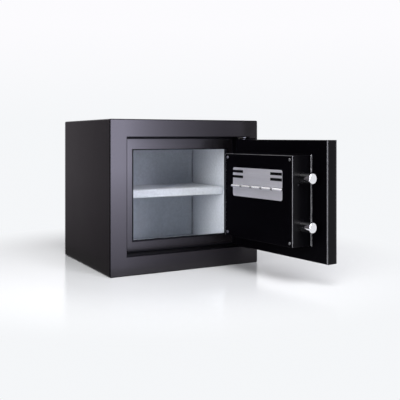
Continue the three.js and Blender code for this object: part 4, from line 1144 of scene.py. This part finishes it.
class SAFE_OT_bolt_work(SafeOperator):
    """The two round bolts on their carrier"""
    bl_idname = "safe.bolt_work"
    bl_label = "Bolt Work"

    ROD, STEM, TAIL, EASE, STEM_EASE = 9.5 * MM, 4 * MM, 7.3 * MM, 0.5 * MM, 0.4 * MM
    # The bolt's end: how far in from its side, and how far down from its end
    END = ((0, 1.3 * MM), (0.12 * MM, 0.75 * MM), (0.5 * MM, 0.3 * MM), (1.2 * MM, 0.03 * MM), (2.5 * MM, 0))

    def bolt(self, side):
        node = f"bolt_{side}"
        foot, tall = standing(node, -ACROSS)
        profile = [(0, 0), (self.STEM - self.STEM_EASE, 0), (self.STEM, self.STEM_EASE), (self.STEM, self.TAIL),
                   (self.ROD - self.EASE, self.TAIL), (self.ROD, self.TAIL + self.EASE)]
        profile += [(self.ROD - inset, tall - down) for inset, down in self.END]
        form = aimed(turned(profile + [(0, tall)], steps=96), foot, -ACROSS)
        finish_piece(form, f"round_bolt_{side}", "bolt_work", "bright_chrome", "bright_chrome", replaces=[node])

    def execute(self, context):
        edges = context.scene.safe_edges
        for side in ("upper", "lower"):
            self.bolt(side)
        rounded("bolt_carrier", "carrier_plate", edges.fine, "zinc_steel", "zinc_plate")
        return {"FINISHED"}


class SAFE_OT_lock_parts(SafeOperator):
    """What the lock box holds: chassis, cam, solenoid, plunger and circuit board"""
    bl_idname = "safe.lock_parts"
    bl_label = "Lock Parts"

    def execute(self, context):
        edges = context.scene.safe_edges
        rounded("lock_chassis", "chassis_plate", edges.fine, "zinc_steel", "zinc_plate")
        rounded("spindle_cam", "cam_and_spindle", edges.fine, "zinc_steel", "zinc_plate")
        rounded("solenoid", "solenoid_can", edges.moulded, "black_plastic", "black_moulding")
        rounded("solenoid_plunger", "plunger_rod", edges.fine, "zinc_steel", "zinc_plate")
        rounded("circuit_board", "lock_board", edges.fine, "board", "solder_mask")
        return {"FINISHED"}


class SAFE_OT_knob(SafeOperator):
    """The turn knob on the door's face, with a pointer line"""
    bl_idname = "safe.knob"
    bl_label = "Knob"

    LINE_LOW = (-0.6 * MM, 4 * MM, -0.12 * MM)
    LINE_HIGH = (0.6 * MM, 15 * MM, 0.02 * MM)
    LINE_EASE = 0.05 * MM

    def execute(self, context):
        edges = context.scene.safe_edges
        rounded("knob", "turn_grip", edges.moulded, "bright_chrome", "bright_chrome")
        line = eased(block(self.LINE_LOW, self.LINE_HIGH), self.LINE_EASE, segments=2)
        aimed(line, standing("knob", INWARD)[0], -INWARD)
        finish_piece(line, "knob_line", "turn_knob", "black_plastic", "black_moulding")
        return {"FINISHED"}


class SAFE_OT_keypad(SafeOperator):
    """The keypad on the door's face: housing, keys, digits and two lamps"""
    bl_idname = "safe.keypad"
    bl_label = "Keypad"

    PRINT = 0.05 * MM
    LENS_RISE, LENS_APART = 21.5 * MM, 8 * MM
    LENS = ((0, -1 * MM), (1.6 * MM, -1 * MM), (1.6 * MM, 0.15 * MM), (1.2 * MM, 0.55 * MM), (0.6 * MM, 0.75 * MM),
            (0, 0.8 * MM))

    def digit(self, number, height):
        """A digit as a thin raised print on its key."""
        text = bpy.data.curves.new(f"digit_{number}", "FONT")
        text.body = str(number)
        text.size = height
        text.align_x = "CENTER"
        text.align_y = "CENTER"
        text.extrude = self.PRINT
        form = shown_form(linked("word", text))
        bmesh.ops.remove_doubles(form, verts=form.verts, dist=WELD)
        wide = [point.co.x for point in form.verts]
        tall = [point.co.y for point in form.verts]
        shift = Vector((-(min(wide) + max(wide)) / 2, -(min(tall) + max(tall)) / 2, 0))
        bmesh.ops.translate(form, vec=shift, verts=form.verts)
        aimed(form, standing(f"key_{number}", INWARD)[0], -INWARD)
        finish_piece(form, f"digit_{number}", f"key_{number}", "key_plastic", "legend_ink")

    def execute(self, context):
        edges = context.scene.safe_edges
        rounded("keypad_housing", "pad_housing", edges.moulded, "black_plastic", "black_moulding")
        for number in range(10):
            rounded(f"key_{number}", f"key_cap_{number}", edges.moulded, "key_plastic", "key_moulding")
            self.digit(number, edges.digit)
        middle = standing("keypad_housing", INWARD)[0] + UP * self.LENS_RISE
        for name, shift in (("red_lens", self.LENS_APART), ("green_lens", -self.LENS_APART)):
            form = aimed(turned(self.LENS, steps=32), middle + ACROSS * shift, -INWARD)
            finish_piece(form, name, "door", "black_plastic", name)
        return {"FINISHED"}


OPERATORS = (SAFE_OT_finishes, SAFE_OT_stage, SAFE_OT_body, SAFE_OT_rubber, SAFE_OT_lining, SAFE_OT_hinges,
             SAFE_OT_door, SAFE_OT_lock_box, SAFE_OT_hinged_plate, SAFE_OT_batteries, SAFE_OT_bolt_work,
             SAFE_OT_lock_parts, SAFE_OT_knob, SAFE_OT_keypad)
SETTINGS = {"safe_edges": SafeEdges, "safe_colours": SafeColours, "safe_studio": SafeStudio}


class SAFE_PT_pieces(bpy.types.Panel):
    """Lists the safe's pieces and their sizes and colours."""
    bl_label = "Compact Fire Safe"
    bl_space_type = "VIEW_3D"
    bl_region_type = "UI"
    bl_category = "Safe"

    def draw(self, context):
        layout = self.layout
        for operator in OPERATORS:
            layout.operator(operator.bl_idname, text=operator.bl_label)
        for title in SETTINGS:
            values = getattr(context.scene, title)
            shelf = layout.box()
            for key in values.__annotations__:
                shelf.prop(values, key)


CLASSES = (*SETTINGS.values(), *OPERATORS, SAFE_PT_pieces)


def register():
    for made in CLASSES:
        bpy.utils.register_class(made)
    for title, kind in SETTINGS.items():
        setattr(bpy.types.Scene, title, PointerProperty(type=kind))


def unregister():
    for title in SETTINGS:
        delattr(bpy.types.Scene, title)
    for made in reversed(CLASSES):
        bpy.utils.unregister_class(made)


def main():
    register()
    for operator in OPERATORS:
        group, name = operator.bl_idname.split(".")
        getattr(getattr(bpy.ops, group), name)()


if __name__ == "__main__":
    main()
